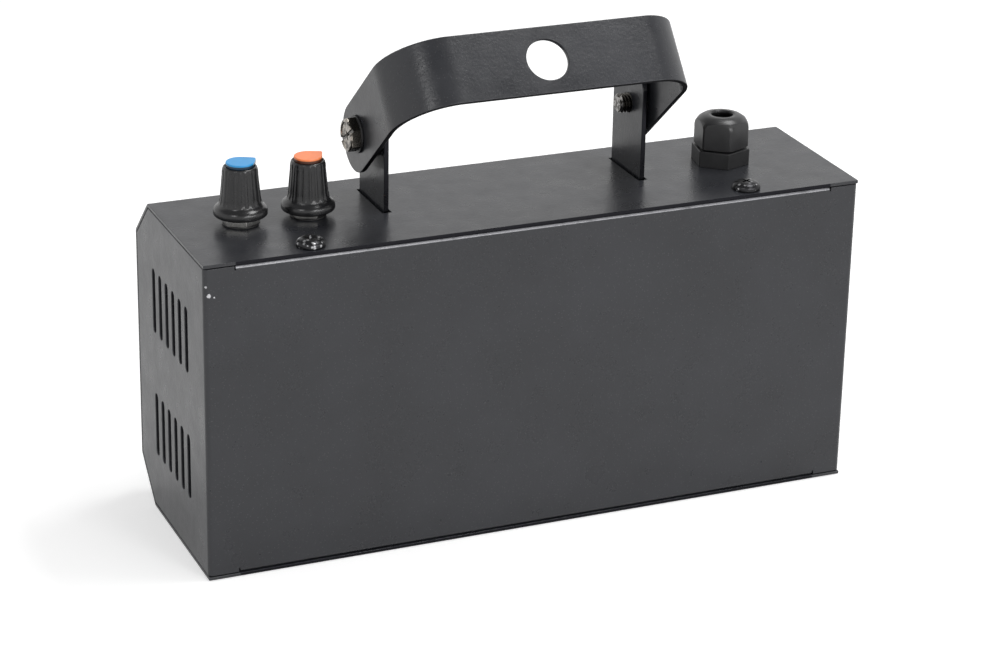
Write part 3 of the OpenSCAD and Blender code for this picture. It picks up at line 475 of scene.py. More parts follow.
def emitter_dome(name):
    """Silicone dome over a yellow phosphor."""
    shader = Shader(name)
    grain = shader.noise(0.35 * MM)
    base = shader.mix(grain, (0.78, 0.60, 0.10), (0.88, 0.74, 0.22))
    return shader.finish(
        base_color=base, roughness=0.16 + grain * 0.1, ior=1.41, coat_weight=0.6, coat_roughness=0.05,
        normal=shader.bump(grain, 0.01 * MM),
    )


def capacitor_sleeve(name):
    """Shrunk sleeve with a paler stripe down one side of each can."""
    shader = Shader(name)
    stripe = shader.span(shader.parts()[2], 62.5 * MM, 62.8 * MM)
    base = shader.mix(stripe, (0.012, 0.022, 0.07), (0.45, 0.46, 0.48))
    wrinkle = shader.noise(1.5 * MM)
    return shader.finish(
        base_color=base, roughness=0.28 + wrinkle * 0.1, normal=shader.bump(wrinkle, 0.02 * MM),
        coat_weight=0.3, coat_roughness=0.1,
    )


def coil_tape(name):
    """Amber polyester tape over the windings, with its edges in steps."""
    shader = Shader(name)
    turns = (shader.parts()[1] / (0.5 * MM)).wrapped(1.0)
    edge = shader.span((turns - 0.5).size(), 0.36, 0.5)
    base = shader.mix(edge, (0.78, 0.42, 0.05), (0.42, 0.19, 0.02))
    wrinkle = shader.noise(1.2 * MM)
    return shader.finish(
        base_color=base, roughness=0.22 + wrinkle * 0.12,
        normal=shader.bump(wrinkle * 0.5 + (1 - edge), 0.02 * MM),
    )


# The record's slots, each with its maker and what that is given: a colour or a setting's name comes first
FINISHES = {
    "aluminium": (brushed, (0.62, 0.63, 0.64), 0.3),
    "black_epoxy": (moulded, (0.016, 0.016, 0.017), 0.5, 0.2 * MM, 0.01 * MM),
    "black_rubber": (moulded, (0.012, 0.012, 0.012), 0.65, 0.2 * MM, 0.01 * MM),
    "black_zinc": (black_zinc,),
    "brass": (brushed, (0.72, 0.52, 0.22), 0.22),
    "bright_nickel": (plated, (0.62, 0.61, 0.585), 0.14),
    "capacitor_sleeve": (capacitor_sleeve,),
    "clear_panel": (clear, (0.97, 0.985, 0.99), 1.49, (20 * MM, 4.0, 0.7), 0.5, 0.8, (0.015, 0.07)),
    "coil_tape": (coil_tape,),
    "emitter_dome": (emitter_dome,),
    "ferrite": (moulded, (0.035, 0.035, 0.038), 0.6, 0.4 * MM, 0.02 * MM),
    "fuse_glass": (clear, (0.96, 0.98, 0.97), 1.5, (3 * MM,), 0.4, 0.8, (0.0, 0.05)),
    "gland_nylon": (moulded, "nylon", 0.34, 0.25 * MM, 0.006 * MM),
    "green_board": (circuit_board, (0.012, 0.10, 0.035), (0.03, 0.17, 0.06), 0.30),
    "knob_plastic": (moulded, "knob", 0.24, 0.5 * MM, 0.008 * MM),
    "mirror_plastic": (mirrored,),
    "plated_steel": (plated, (0.52, 0.53, 0.54), 0.28),
    "terminal_green": (moulded, (0.03, 0.24, 0.06), 0.4),
    "white_board": (circuit_board, (0.78, 0.79, 0.77), (0.70, 0.71, 0.68), 0.32),
    "zinc_steel": (plated, (0.60, 0.61, 0.62), 0.22),
}


def material_for(slot):
    """The material of one of the record's slots, made when it is first asked for."""
    name = "finish_" + slot
    if name in bpy.data.materials:
        return bpy.data.materials[name]
    maker, *values = FINISHES[slot]
    if values and isinstance(values[0], str):
        values[0] = getattr(bpy.context.scene.strobe_finish, values[0])
    return maker(name, *values)


def mesh_of(bm, name):
    """Turns a bmesh into a mesh and frees it."""
    mesh = bpy.data.meshes.new(name)
    bm.to_mesh(mesh)
    bm.free()
    return mesh


def placed_object(name, data):
    """A new object in the scene."""
    made = bpy.data.objects.new(name, data)
    bpy.context.scene.collection.objects.link(made)
    return made


def dress(piece, material):
    """Gives a piece one material."""
    piece.data.materials.clear()
    piece.data.materials.append(material)


def make_piece(name, bm, body, slot, replaced=(), material=None, soft=None, angle=30):
    """Turns a bmesh into a finished piece that rides on a body, with its edges softened by a width."""
    bmesh.ops.recalc_face_normals(bm, faces=bm.faces)
    mesh = mesh_of(bm, name)
    mesh.shade_smooth()
    mesh.set_sharp_from_angle(angle=math.radians(angle))
    piece = placed_object(name, mesh)
    dress(piece, material or material_for(slot))
    if soft:
        bevel = piece.modifiers.new("soft edges", "BEVEL")
        bevel.width = soft
        bevel.segments = 2
        bevel.limit_method = "ANGLE"
        bevel.angle_limit = math.radians(angle)
        bevel.use_clamp_overlap = False
    if soft is not None:
        even = piece.modifiers.new("even normals", "WEIGHTED_NORMAL")
        even.mode = "FACE_AREA"
        even.weight = 100
        even.keep_sharp = False
    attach(piece, body)
    if replaced:
        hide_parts(*replaced)


def make_node_piece(node, bm, name=None, **looks):
    """A piece that takes the place of one CAD node, with its body and its material slot."""
    make_piece(name or node + "_fine", bm, BODY_OF[node], SLOT_OF[node], (node,), **looks)


def welded(node):
    """A bmesh of a CAD node, its loose triangles joined."""
    bm = bmesh.new()
    bm.from_mesh(NODES[node].data)
    bmesh.ops.remove_doubles(bm, verts=bm.verts, dist=WELD)
    return bm


def soften(node, width, material=None):
    """Replaces a CAD node by a copy of itself with whole flat faces and rounded edges."""
    bm = welded(node)
    bmesh.ops.dissolve_limit(
        bm, angle_limit=math.radians(0.5), use_dissolve_boundaries=False, verts=bm.verts, edges=bm.edges,
    )
    make_node_piece(node, bm, node + "_soft", soft=width, material=material)


def cuts_of(node, *ways):
    """The cut edges of a node's sheet: the ways that they face, and how far out they begin."""
    return [(way, max(way.dot(vert.co) for vert in NODES[node].data.vertices) - 0.08 * MM) for way in ways]


def solids_of(node):
    """The low and high corners of each separate solid of a CAD node, ordered along X, then Z."""
    bm = welded(node)
    waiting = set(bm.verts)
    boxes = []
    while waiting:
        edge_of_group = [waiting.pop()]
        group = []
        while edge_of_group:
            vert = edge_of_group.pop()
            group.append(vert.co.copy())
            near = {edge.other_vert(vert) for edge in vert.link_edges} & waiting
            waiting -= near
            edge_of_group.extend(near)
        low, high = ([pick(point[axis] for point in group) for axis in range(3)] for pick in (min, max))
        boxes.append((Vector(low), Vector(high)))
    bm.free()
    return sorted(boxes, key=lambda box: (round(box[0].x / MM, 1), round(box[0].z / MM, 1)))


def rounded(bm, geom, offset, segments=4, affect="EDGES"):
    """Rounds edges, or the corners of a wire."""
    bmesh.ops.bevel(
        bm, geom=geom, offset=offset, offset_type="OFFSET", segments=segments, profile=0.5, affect=affect,
        material=-1,
    )
    return bm


def raised(bm, faces, height):
    """Extrudes faces along Z and gives back the new vertices and faces."""
    new = bmesh.ops.extrude_face_region(bm, geom=faces)["geom"]
    verts = [item for item in new if isinstance(item, bmesh.types.BMVert)]
    bmesh.ops.translate(bm, verts=verts, vec=(0, 0, height))
    return verts, [item for item in new if isinstance(item, bmesh.types.BMFace)]


def twisted(bm, turn):
    """Turns a bmesh about Z."""
    bmesh.ops.rotate(bm, verts=bm.verts, cent=(0, 0, 0), matrix=Matrix.Rotation(turn, 3, "Z"))
    return bm


def moved(bm, place, facing=None):
    """Moves a bmesh's origin to a place, after turning its Z axis to a direction where one is given."""
    turn = Vector(facing).to_track_quat("Z", "Y").to_matrix().to_4x4() if facing else Matrix()
    bmesh.ops.transform(bm, matrix=Matrix.Translation(place) @ turn, verts=bm.verts)
    return bm


def turned(profile, steps=64, closed=False):
    """Spins a line of (radius, height, rounding) corners about Z; the rounding may be left out."""
    bm = bmesh.new()
    corners = [bm.verts.new((corner[0], 0, corner[1])) for corner in profile]
    for pair in zip(corners, corners[1:]):
        bm.edges.new(pair)
    if closed:
        bm.edges.new((corners[-1], corners[0]))
    for vert, corner in zip(corners, profile):
        if len(corner) > 2:
            rounded(bm, [vert], corner[2], affect="VERTICES")
    bmesh.ops.spin(
        bm, geom=bm.verts[:] + bm.edges[:], cent=(0, 0, 0), axis=(0, 0, 1), angle=2 * math.pi, steps=steps,
        use_merge=True,
    )
    bmesh.ops.remove_doubles(bm, verts=bm.verts, dist=WELD)
    bmesh.ops.recalc_face_normals(bm, faces=bm.faces)
    return bm


def rod(radius, low, high, steps=64):
    """A plain cylinder from z = low to z = high."""
    return turned([(0, low), (radius, low), (radius, high), (0, high)], steps)


def hexagon(width, height, turn, easing):
    """A hexagonal prism on z = 0, measured across its flats, with its upright edges rounded."""
    bm = bmesh.new()
    bmesh.ops.create_circle(bm, cap_ends=True, segments=6, radius=width / 2 / FLATS)
    raised(bm, bm.faces[:], height)
    bmesh.ops.recalc_face_normals(twisted(bm, turn), faces=bm.faces)
    upright = [
        edge for edge in bm.edges
        if abs(edge.verts[0].co.z - edge.verts[1].co.z) > (edge.verts[0].co.xy - edge.verts[1].co.xy).length
    ]
    return rounded(bm, upright, easing)


def block(size, place=(0, 0, 0), taper=1.0):
    """A box centred on a place, whose lower end is narrowed by a taper."""
    bm = bmesh.new()
    bmesh.ops.create_cube(bm, size=1.0)
    low = [vert for vert in bm.verts if vert.co.z < 0]
    bmesh.ops.scale(bm, verts=low, vec=(taper, taper, 1))
    bmesh.ops.scale(bm, verts=bm.verts, vec=size)
    return moved(bm, place)


def threaded(diameter, pitch, low, high, steps=24):
    """A rod from z = low to z = high with a helical thread and a chamfered lower end."""
    crest = diameter / 2
    root = crest - 0.55 * pitch
    turns = math.ceil((high - low) / pitch) + 2
    bm = bmesh.new()
    # The tooth's outline: radius, and height as a share of the pitch
    tooth = [(root, 0.0), (crest, 0.38), (crest, 0.54), (root, 0.92), (root, 1.0)]
    corners = [bm.verts.new((radius, 0, low + (rise - 1) * pitch)) for radius, rise in tooth]
    edges = [bm.edges.new(pair) for pair in zip(corners, corners[1:])]
    bmesh.ops.spin(
        bm, geom=corners + edges, cent=(0, 0, 0), axis=(0, 0, 1), dvec=(0, 0, pitch / steps),
        angle=2 * math.pi * turns, steps=steps * turns,
    )
    bmesh.ops.remove_doubles(bm, verts=bm.verts, dist=0.002 * MM)
    for height, direction in ((low, -1), (high, 1)):
        cut = bmesh.ops.bisect_plane(
            bm, geom=bm.verts[:] + bm.edges[:] + bm.faces[:], dist=0.0001 * MM, plane_co=(0, 0, height),
            plane_no=(0, 0, direction), clear_outer=True,
        )
        rim = [item for item in cut["geom_cut"] if isinstance(item, bmesh.types.BMEdge)]
        bmesh.ops.edgeloop_fill(bm, edges=rim)
    # The chamfer starts at the root's radius and widens at 45 degrees
    for vert in bm.verts:
        reach = root + (vert.co.z - low)
        radius = vert.co.xy.length
        if radius > reach:
            vert.co.xy *= reach / radius
    bmesh.ops.recalc_face_normals(bm, faces=bm.faces)
    return bm


def joined(bm, *others):
    """Adds the shells of other bmeshes to the first."""
    for other in others:
        mesh = mesh_of(other, "shell")
        bm.from_mesh(mesh)
        bpy.data.meshes.remove(mesh)
    return bm


def carved(bm, *cutters, operation="DIFFERENCE"):
    """Cuts one closed shape by others, one after another."""
    for cutter in cutters:
        blank = placed_object("blank", mesh_of(bm, "blank"))
        tool = placed_object("cutter", mesh_of(cutter, "cutter"))
        boolean = blank.modifiers.new("cut", "BOOLEAN")
        boolean.operation = operation
        boolean.solver = "EXACT"
        boolean.object = tool
        bpy.context.view_layer.update()
        result = bpy.data.meshes.new_from_object(blank.evaluated_get(bpy.context.evaluated_depsgraph_get()))
        bm = bmesh.new()
        bm.from_mesh(result)
        bpy.data.meshes.remove(result)
        for item in (blank, tool):
            mesh = item.data
            bpy.data.objects.remove(item)
            bpy.data.meshes.remove(mesh)
    return bm


def cross_cutters(span, width, depth, height, turn):
    """The two tapered blades that cut a cross recess down from a height."""
    size, place, taper = (span, width, 2 * depth), (0, 0, height), 0.35
    return [twisted(block(size, place, taper), turn + quarter) for quarter in (0, math.pi / 2)]


class STROBE_OT_housing(Operator):
    """Front shell and rear cover, folded from powder-coated sheet"""

    bl_idname = "strobe.housing"
    bl_label = "Housing"

    def execute(self, context):
        edge = context.scene.strobe_detail.sheet_edge
        finish = context.scene.strobe_finish
        rear = Vector((0, 1, 0))
        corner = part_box("rear_cover")[1]
        reach = corner.x - context.scene.strobe_detail.flange_end
        # The front shell's rear cut edge gets painted shade
        cut = powder_coat(finish, "finish_powder_coat_cut", cuts=cuts_of("front_shell", rear), reach=reach)
        soften("front_shell", edge, cut)
        chips = [
            (corner + Vector((-0.75, 0, -5.5)) * MM, 0.5 * MM),
            (corner + Vector((-1.55, 0, -8.2)) * MM, 0.95 * MM),
            (corner + Vector((-3.1, 0, -8.8)) * MM, 0.4 * MM),
        ]
        # Place and width of the painted highlight along the rear cover's upper bend; the chips are real wear
        line = Vector((0, corner.y - 0.25 * MM, corner.z - 0.72 * MM)), 0.45 * MM
        chips_and_highlight = powder_coat(finish, "finish_powder_coat_chipped", chips, bend=line, reach=reach)
        soften("rear_cover", edge, chips_and_highlight)
        return {"FINISHED"}


class STROBE_OT_yoke(Operator):
    """Swinging yoke and the anchor bracket that carries it"""

    bl_idname = "strobe.yoke"
    bl_label = "Yoke and bracket"

    @staticmethod
    def strap_side():
        """The way across the yoke's strap, square to the line from the pivot to the crossbar."""
        pivot = AXIS_OF["yoke_tilt"]
        arms = [vert.co.yz - pivot.yz for vert in NODES["yoke"].data.vertices]
        far = max(arm.length for arm in arms) - 0.01 * MM
        corners = [arm for arm in arms if arm.length > far]
        low = min(corners, key=lambda arm: arm.y)
        high = max(corners, key=lambda arm: arm.y)
        side = (low - high).normalized()
        return Vector((0, side.x, side.y))

    def execute(self, context):
        edge = context.scene.strobe_detail.strap_edge
        finish = context.scene.strobe_finish
        across = self.strap_side()
        # The strap's and bracket's cut edges get painted shade
        coats = {"yoke": (across, -across), "anchor_bracket": (Vector((0, 1, 0)), Vector((0, -1, 0)))}
        for node, ways in coats.items():
            coat = powder_coat(finish, "finish_powder_coat_" + node, cuts=cuts_of(node, *ways))
            soften(node, edge, coat)
        return {"FINISHED"}


class STROBE_OT_pivots(Operator):
    """Pivot bolts with dished heads, and the washers beside the yoke"""

    bl_idname = "strobe.pivots"
    bl_label = "Pivots"

    def execute(self, context):
        detail = context.scene.strobe_detail
        pivot = AXIS_OF["yoke_tilt"]
        thread = self.thread()
        inner, outer = thread / 2 + 0.1 * MM, detail.bolt_washer_width / 2
        leg = min(abs(corner.x) for corner in solids_of("head_washers")[0])
        seat = leg + detail.bolt_washer
        bolts, washers = bmesh.new(), bmesh.new()
        tails = []
        for side, (low, high) in zip((-1, 1), solids_of("pivot_bolts")):
            tail, face = sorted((abs(low.x), abs(high.x)))
            tails.append(side * tail)
            washer = turned([
                (inner, 0), (outer, 0, 0.12 * MM), (outer, detail.bolt_washer, 0.12 * MM),
                (inner, detail.bolt_washer),
            ], 96, closed=True)
            joined(washers, moved(washer, (side * leg, pivot.y, pivot.z), (side, 0, 0)))
            bolt = joined(
                self.head(detail, detail.bolt_share * (high.y - low.y), face - seat),
                threaded(thread, detail.bolt_pitch, tail - seat, 0.5 * MM),
            )
            joined(bolts, moved(bolt, (side * seat, pivot.y, pivot.z), (side, 0, 0)))
        # A little below the floor of the dish, which is the lowest part of a head's face
        faces = face - detail.dish - 0.17 * MM
        tint = context.scene.strobe_finish.nickel
        # Painted shade on the bolts' sides and shanks, painted highlights at their tips
        nickel = bolt_nickel(tint, sum(tails) / 2, (tails[1] - tails[0]) / 2, faces)
        make_node_piece("pivot_bolts", bolts, material=nickel, angle=25)
        make_node_piece("head_washers", washers, material=near_black_matt("finish_bolt_washer"), angle=25)
        soften("friction_washers", detail.small_edge)
        return {"FINISHED"}

    @staticmethod
    def thread():
        """The thread's diameter, a little under the washers' bore."""
        pivot = AXIS_OF["yoke_tilt"]
        bore = min((vert.co.yz - pivot.yz).length for vert in NODES["head_washers"].data.vertices)
        return 2 * bore - 0.1 * MM

    @staticmethod
    def head(detail, width, height):
        """A hexagonal head with a dished face, a slot and a cross."""
        corner = width / 2 / FLATS + 0.1 * MM
        rim = width / 2 - 0.1 * MM
        dish = rim - detail.bolt_rim
        floor = height - detail.dish
        blank = turned([
            (0, 0), (corner, 0), (corner, 0.72 * height, 0.25 * MM), (rim, height, 0.2 * MM),
            (dish, height, 0.15 * MM), (dish - 0.6 * detail.dish, floor, 0.3 * MM),
            (0.3 * rim, floor, 0.3 * MM), (0, floor - 0.1 * MM),
        ], 96)
        head = carved(hexagon(width, height, 0, 0.35 * MM), blank, operation="INTERSECT")
        slot = block((1.4 * width, detail.bolt_slot, 2 * detail.dish + 0.6 * MM), (0, 0, height))
        blades = cross_cutters(0.52 * width, detail.bolt_slot, 0.6 * height, height, detail.bolt_turn)
        return carved(head, twisted(slot, detail.bolt_turn), *blades)


class STROBE_OT_screws(Operator):
    """Cover screws and the screws of the lamp stack"""

    bl_idname = "strobe.screws"
    bl_label = "Screws"

    def execute(self, context):
        detail = context.scene.strobe_detail
        self.pan_screws("top_cover_screws", (0, 0, 1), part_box("front_shell")[1].z, 3.5 * MM, detail)
        self.pan_screws("stack_screws", (0, -1, 0), -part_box("front_shell")[0].y, 3.0 * MM, detail)
        self.pan_screws("rear_board_screws", (0, 1, 0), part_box("driver_board")[1].y, 3.0 * MM, detail)
        self.sunk_screws("base_cover_screws", detail)
        return {"FINISHED"}

    @staticmethod
    def pan_screws(node, facing, seat, diameter, detail):
        """Pan-head screws that stand on a seat, measured along the way that they face."""
        way = Vector(facing)
        along = max(range(3), key=lambda axis: abs(way[axis]))
        across = (along + 1) % 3
        screws = bmesh.new()
        for index, (low, high) in enumerate(solids_of(node)):
            width = high[across] - low[across]
            ends = sorted((way.dot(low), way.dot(high)))
            head = ends[1] - seat
            turn = detail.screw_turn + index * 0.9
            dome = turned([
                (0, 0), (0.5 * width, 0, 0.1 * head), (0.5 * width, 0.55 * head, 0.3 * head),
                (0.33 * width, 0.96 * head, 0.3 * head), (0, head),
            ])
            dome = carved(dome, *cross_cutters(0.56 * width, 0.13 * width, 0.6 * head, head, turn))
            screw = joined(dome, threaded(diameter, detail.screw_pitch, ends[0] - seat, 0.2 * head))
            place = (low + high) / 2
            place[along] = seat * way[along]
            joined(screws, moved(screw, place, facing))
        make_node_piece(node, screws, angle=28)

    @staticmethod
    def sunk_screws(node, detail):
        """Countersunk screws that face downwards."""
        screws = bmesh.new()
        for index, (low, high) in enumerate(solids_of(node)):
            width = high.x - low.x
            head = turned([
                (0, -1.2 * MM), (0.2 * width, -1.2 * MM), (0.5 * width, -0.05 * MM), (0.5 * width, 0), (0, 0),
            ])
            blades = cross_cutters(0.52 * width, 0.13 * width, 0.8 * MM, 0, detail.screw_turn + index)
            thread = threaded(3.5 * MM, detail.screw_pitch, low.z - high.z, -0.6 * MM)
            screw = joined(carved(head, *blades), thread)
            joined(screws, moved(screw, ((low.x + high.x) / 2, (low.y + high.y) / 2, low.z), (0, 0, -1)))
        make_node_piece(node, screws, angle=28)


class STROBE_OT_knobs(Operator):
    """Two ribbed knobs with pointed colour caps, over potentiometer nuts and washers"""

    bl_idname = "strobe.knobs"
    bl_label = "Knobs"

    # Rounded edge and shallow dish of a cap, as shares of its outline and its height
    CAP_ROUNDING = (
        (0.995, 0.86), (0.98, 0.95), (0.955, 0.99), (0.93, 1.0), (0.88, 0.99), (0.7, 0.93), (0.45, 0.88),
        (0.2, 0.86), (0.04, 0.855),
    )

    def execute(self, context):
        detail = context.scene.strobe_detail
        finish = context.scene.strobe_finish
        nut_low, nut_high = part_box("pot_nuts")
        nut_flats, nut_bore, easing = 10 * MM, 3.55 * MM, 0.15 * MM
        nuts = bmesh.new()
        for name in ("blue", "orange"):
            pointer = getattr(detail, name + "_pointer")
            axis = AXIS_OF[name + "_turn"]
            low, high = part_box(name + "_knob")
            foot = low.z + getattr(detail, name + "_gap")
            knob = self.knob(detail, (high.x - low.x) / 2, high.z - foot, pointer)
            make_node_piece(name + "_knob", moved(knob, (axis.x, axis.y, foot)), angle=40)
            low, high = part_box(name + "_cap")
            tall = high.z + detail.cap_crown - low.z
            cap = self.cap(self.round_side(name + "_cap", axis, pointer), tall, pointer)
            tint = getattr(finish, name)
            # The cap's side below the shoulder is painted in shade
            plastic = moulded("finish_" + name + "_cap", tint, 0.36, pale=tint, shoulder=low.z + 0.6 * tall)
            make_node_piece(name + "_cap", moved(cap, (axis.x, axis.y, low.z)), angle=50, material=plastic)
            turn = getattr(detail, name + "_nut_turn") + TWELFTH
            nut = hexagon(nut_flats, nut_high.z - nut_low.z, turn, easing)
            nut = carved(nut, rod(nut_bore, -1 * MM, 5 * MM))
            joined(nuts, moved(nut, (axis.x, axis.y, nut_low.z)))
        make_node_piece("pot_nuts", nuts, soft=0.2 * MM)
        soften("pot_washers", 0.1 * MM, near_black_matt("finish_pot_washer"))
        soften("pot_bodies", detail.small_edge)
        return {"FINISHED"}

    @staticmethod
    def round_side(node, axis, pointer):
        """Radius of a cap on the side away from its pointer."""
        back = Vector((math.cos(pointer), math.sin(pointer)))
        return -min((vert.co.xy - axis.xy).dot(back) for vert in NODES[node].data.vertices)

    @staticmethod
    def knob(detail, skirt, height, pointer):
        """A tapered, ribbed neck on a rounded skirt, hollow below and recessed for its cap."""
        hub = 3.1 * MM
        ceiling = 2.2 * MM
        inside = 6.15 * MM
        neck, top = 0.72 * skirt, 0.626 * skirt
        neck_low = 3.5 * MM
        rim_high = height - 0.35 * MM
        recess = height - 0.4 * MM
        low_fade, high_fade = 0.8 * MM, 0.6 * MM
        knob = turned([
            (hub, ceiling), (inside, ceiling, 0.3 * MM), (inside, 0), (skirt, 0, 0.65 * MM),
            (skirt, 2.2 * MM, 1.0 * MM), (neck + 0.5 * MM, neck_low - 0.3 * MM, 1.3 * MM),
            (neck, neck_low + 1.8 * MM), (top + 0.1 * MM, height - 2.6 * MM), (top, height, 0.5 * MM),
            (top - 0.55 * MM, height, 0.1 * MM), (top - 0.6 * MM, recess), (0, recess),
            (0, height - 3.0 * MM), (hub, height - 3.0 * MM),
        ], 240, closed=True)
        rings = 10
        for step in range(rings + 1):
            station = neck_low + step * (rim_high - neck_low) / rings
            everything = knob.verts[:] + knob.edges[:] + knob.faces[:]
            bmesh.ops.bisect_plane(knob, geom=everything, plane_co=(0, 0, station), plane_no=(0, 0, 1))
        for vert in knob.verts:
            radius = vert.co.xy.length
            if vert.co.z > neck_low and radius > top - 0.3 * MM and vert.co.z < rim_high + 0.01 * MM:
                fade = min(1.0, (vert.co.z - neck_low) / low_fade, (rim_high - vert.co.z) / high_fade)
                angle = math.atan2(vert.co.y, vert.co.x) - pointer
                wave = math.cos(detail.knob_ribs * angle)
                rib = max(0.0, min(1.0, wave * 1.6 + 0.3))
                vert.co.xy *= 1 + detail.rib_height * rib * max(0.0, fade) / radius
        return knob

    def cap(self, radius, height, pointer):
        """A round button with one corner that points, its top a shallow dish."""
        bm = bmesh.new()
        start = bm.verts.new((radius * math.cos(math.pi / 4), radius * math.sin(math.pi / 4), 0))
        bmesh.ops.spin(bm, geom=[start], cent=(0, 0, 0), axis=(0, 0, 1), angle=1.5 * math.pi, steps=45)
        ends = [vert for vert in bm.verts if len(vert.link_edges) == 1]
        tip = bm.verts.new((radius * math.sqrt(2), 0, 0))
        for end in ends:
            bm.edges.new((end, tip))
        rounded(bm, [tip], 0.7 * MM, affect="VERTICES")
        face = bmesh.ops.edgeloop_fill(bm, edges=bm.edges[:])["faces"][0]
        if face.normal.z < 0:
            face.normal_flip()
        reached = 1.0, 0.72
        top = raised(bm, [face], reached[1] * height)[1]
        for outline, level in self.CAP_ROUNDING:
            verts, top = raised(bm, top, (level - reached[1]) * height)
            narrowed = outline / reached[0]
            bmesh.ops.scale(bm, verts=verts, vec=(narrowed, narrowed, 1))
            reached = outline, level
        return twisted(bm, pointer)


class STROBE_OT_gland(Operator):
    """Cable gland with an eased hexagon, threaded body and domed cap nut"""

    bl_idname = "strobe.gland"
    bl_label = "Cable gland"

    def execute(self, context):
        detail = context.scene.strobe_detail
        low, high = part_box("gland_body")
        middle = (low + high) / 2
        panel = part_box("front_shell")[1].z
        bore, long = 4.2 * MM, 30 * MM
        inner, outer = 4.85 * MM, 5.5 * MM
        thread = threaded(12 * MM, detail.gland_pitch, low.z - panel, 0.5 * MM, 48)
        neck = turned([
            (inner, 4.0 * MM), (outer, 4.0 * MM), (outer, high.z - panel, 0.3 * MM), (inner, high.z - panel),
        ], closed=True)
        flange = hexagon(detail.gland_flats, 5 * MM, detail.gland_turn + TWELFTH, 0.25 * MM)
        body = joined(carved(flange, rod(bore, -long, long)), carved(thread, rod(bore, -long, long)), neck)
        make_node_piece("gland_body", moved(body, (middle.x, middle.y, panel)), soft=detail.small_edge)
        low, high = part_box("gland_cap_nut")
        cap = self.cap_nut(detail, detail.gland_cap_flats, high.z - low.z)
        make_node_piece("gland_cap_nut", moved(cap, (middle.x, middle.y, low.z)), soft=0)
        soften("gland_seal", detail.small_edge)
        soften("gland_locknut", 0.3 * MM)
        return {"FINISHED"}

    @staticmethod
    def cap_nut(detail, width, height):
        """A domed hexagon with a little chamfer at its foot, hollow over the body's neck."""
        corner = width / 2 / FLATS - 0.1 * MM
        dome = turned([
            (0, 0), (corner - 0.3 * MM, 0), (corner, 0.3 * MM), (corner, height, 4.0 * MM), (0, height),
        ], 120)
        blank = hexagon(width, height, detail.gland_turn + math.radians(34), 0.5 * MM)
        cap = carved(blank, dome, operation="INTERSECT")
        neck, entry = 5.55 * MM, 3.4 * MM
        shoulder = height - 1.6 * MM
        hollow = turned([
            (0, -1 * MM), (neck, -1 * MM), (neck, shoulder), (entry, shoulder), (entry, height + 1 * MM),
            (0, height + 1 * MM),
        ])
        return carved(cap, hollow)


class STROBE_OT_lamps(Operator):
    """Clear window, metallised cups, emitters, lamp board, heat spreader and spacers"""

    bl_idname = "strobe.lamps"
    bl_label = "Lamp stack"

    def execute(self, context):
        soften("window_panel", 0.2 * MM)
        self.emitters()
        self.reflector()
        for node in ("lamp_board", "heat_spreader", "hex_spacers"):
            soften(node, 0.12 * MM)
        return {"FINISHED"}

    @staticmethod
    def reflector():
        """Plate with a deep curved cup round each emitter, and a hole for each screw."""
        low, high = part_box("reflector_panel")
        depth = high.y - low.y
        plate = block(high - low, (low + high) / 2)
        upright = [edge for edge in plate.edges if abs(edge.verts[0].co.y - edge.verts[1].co.y) > depth / 2]
        rounded(plate, upright, 2 * MM, 6)
        throat, mouth, past = 3.5 * MM, 9 * MM, 0.5 * MM
        curve = [(0, -past), (throat, -past)]
        for step in range(1, 7):
            rise = step / 6
            curve.append((math.sqrt(throat ** 2 + (mouth ** 2 - throat ** 2) * rise), rise * depth))
        curve += [(mouth + 0.1 * MM, depth + past), (0, depth + past)]
        cutters = []
        for node in ("lamp_emitters", "stack_screws"):
            shapes = bmesh.new()
            for corners in solids_of(node):
                middle = sum(corners, Vector()) / 2
                cup = node == "lamp_emitters"
                shape = turned(curve, 40) if cup else rod(1.7 * MM, -depth, 2 * depth, 32)
                joined(shapes, moved(shape, (middle.x, high.y, middle.z), (0, -1, 0)))
            cutters.append(shapes)
        make_node_piece("reflector_panel", carved(plate, *cutters), angle=25)

    @staticmethod
    def emitters():
        """White ceramic packages, each under a domed lens."""
        domes, bases = bmesh.new(), bmesh.new()
        for low, high in solids_of("lamp_emitters"):
            middle = (low + high) / 2
            side = high.x - low.x
            radius = 0.4 * side
            angles = [step * math.pi / 16 for step in range(1, 8)]
            arc = [(radius * math.cos(angle), radius * math.sin(angle)) for angle in angles]
            dome = turned([(0, 0), (radius, 0), *arc, (0, radius)], 24)
            joined(domes, moved(dome, (middle.x, low.y + radius, middle.z), (0, -1, 0)))
            base_depth = high.y - low.y - radius
            place = (middle.x, high.y - base_depth / 2, middle.z)
            joined(bases, block((side, base_depth, side), place))
        make_node_piece("lamp_emitters", domes, "emitter_domes")
        make_piece("emitter_bases", bases, BODY_OF["lamp_emitters"], "white_board", soft=0.15 * MM)


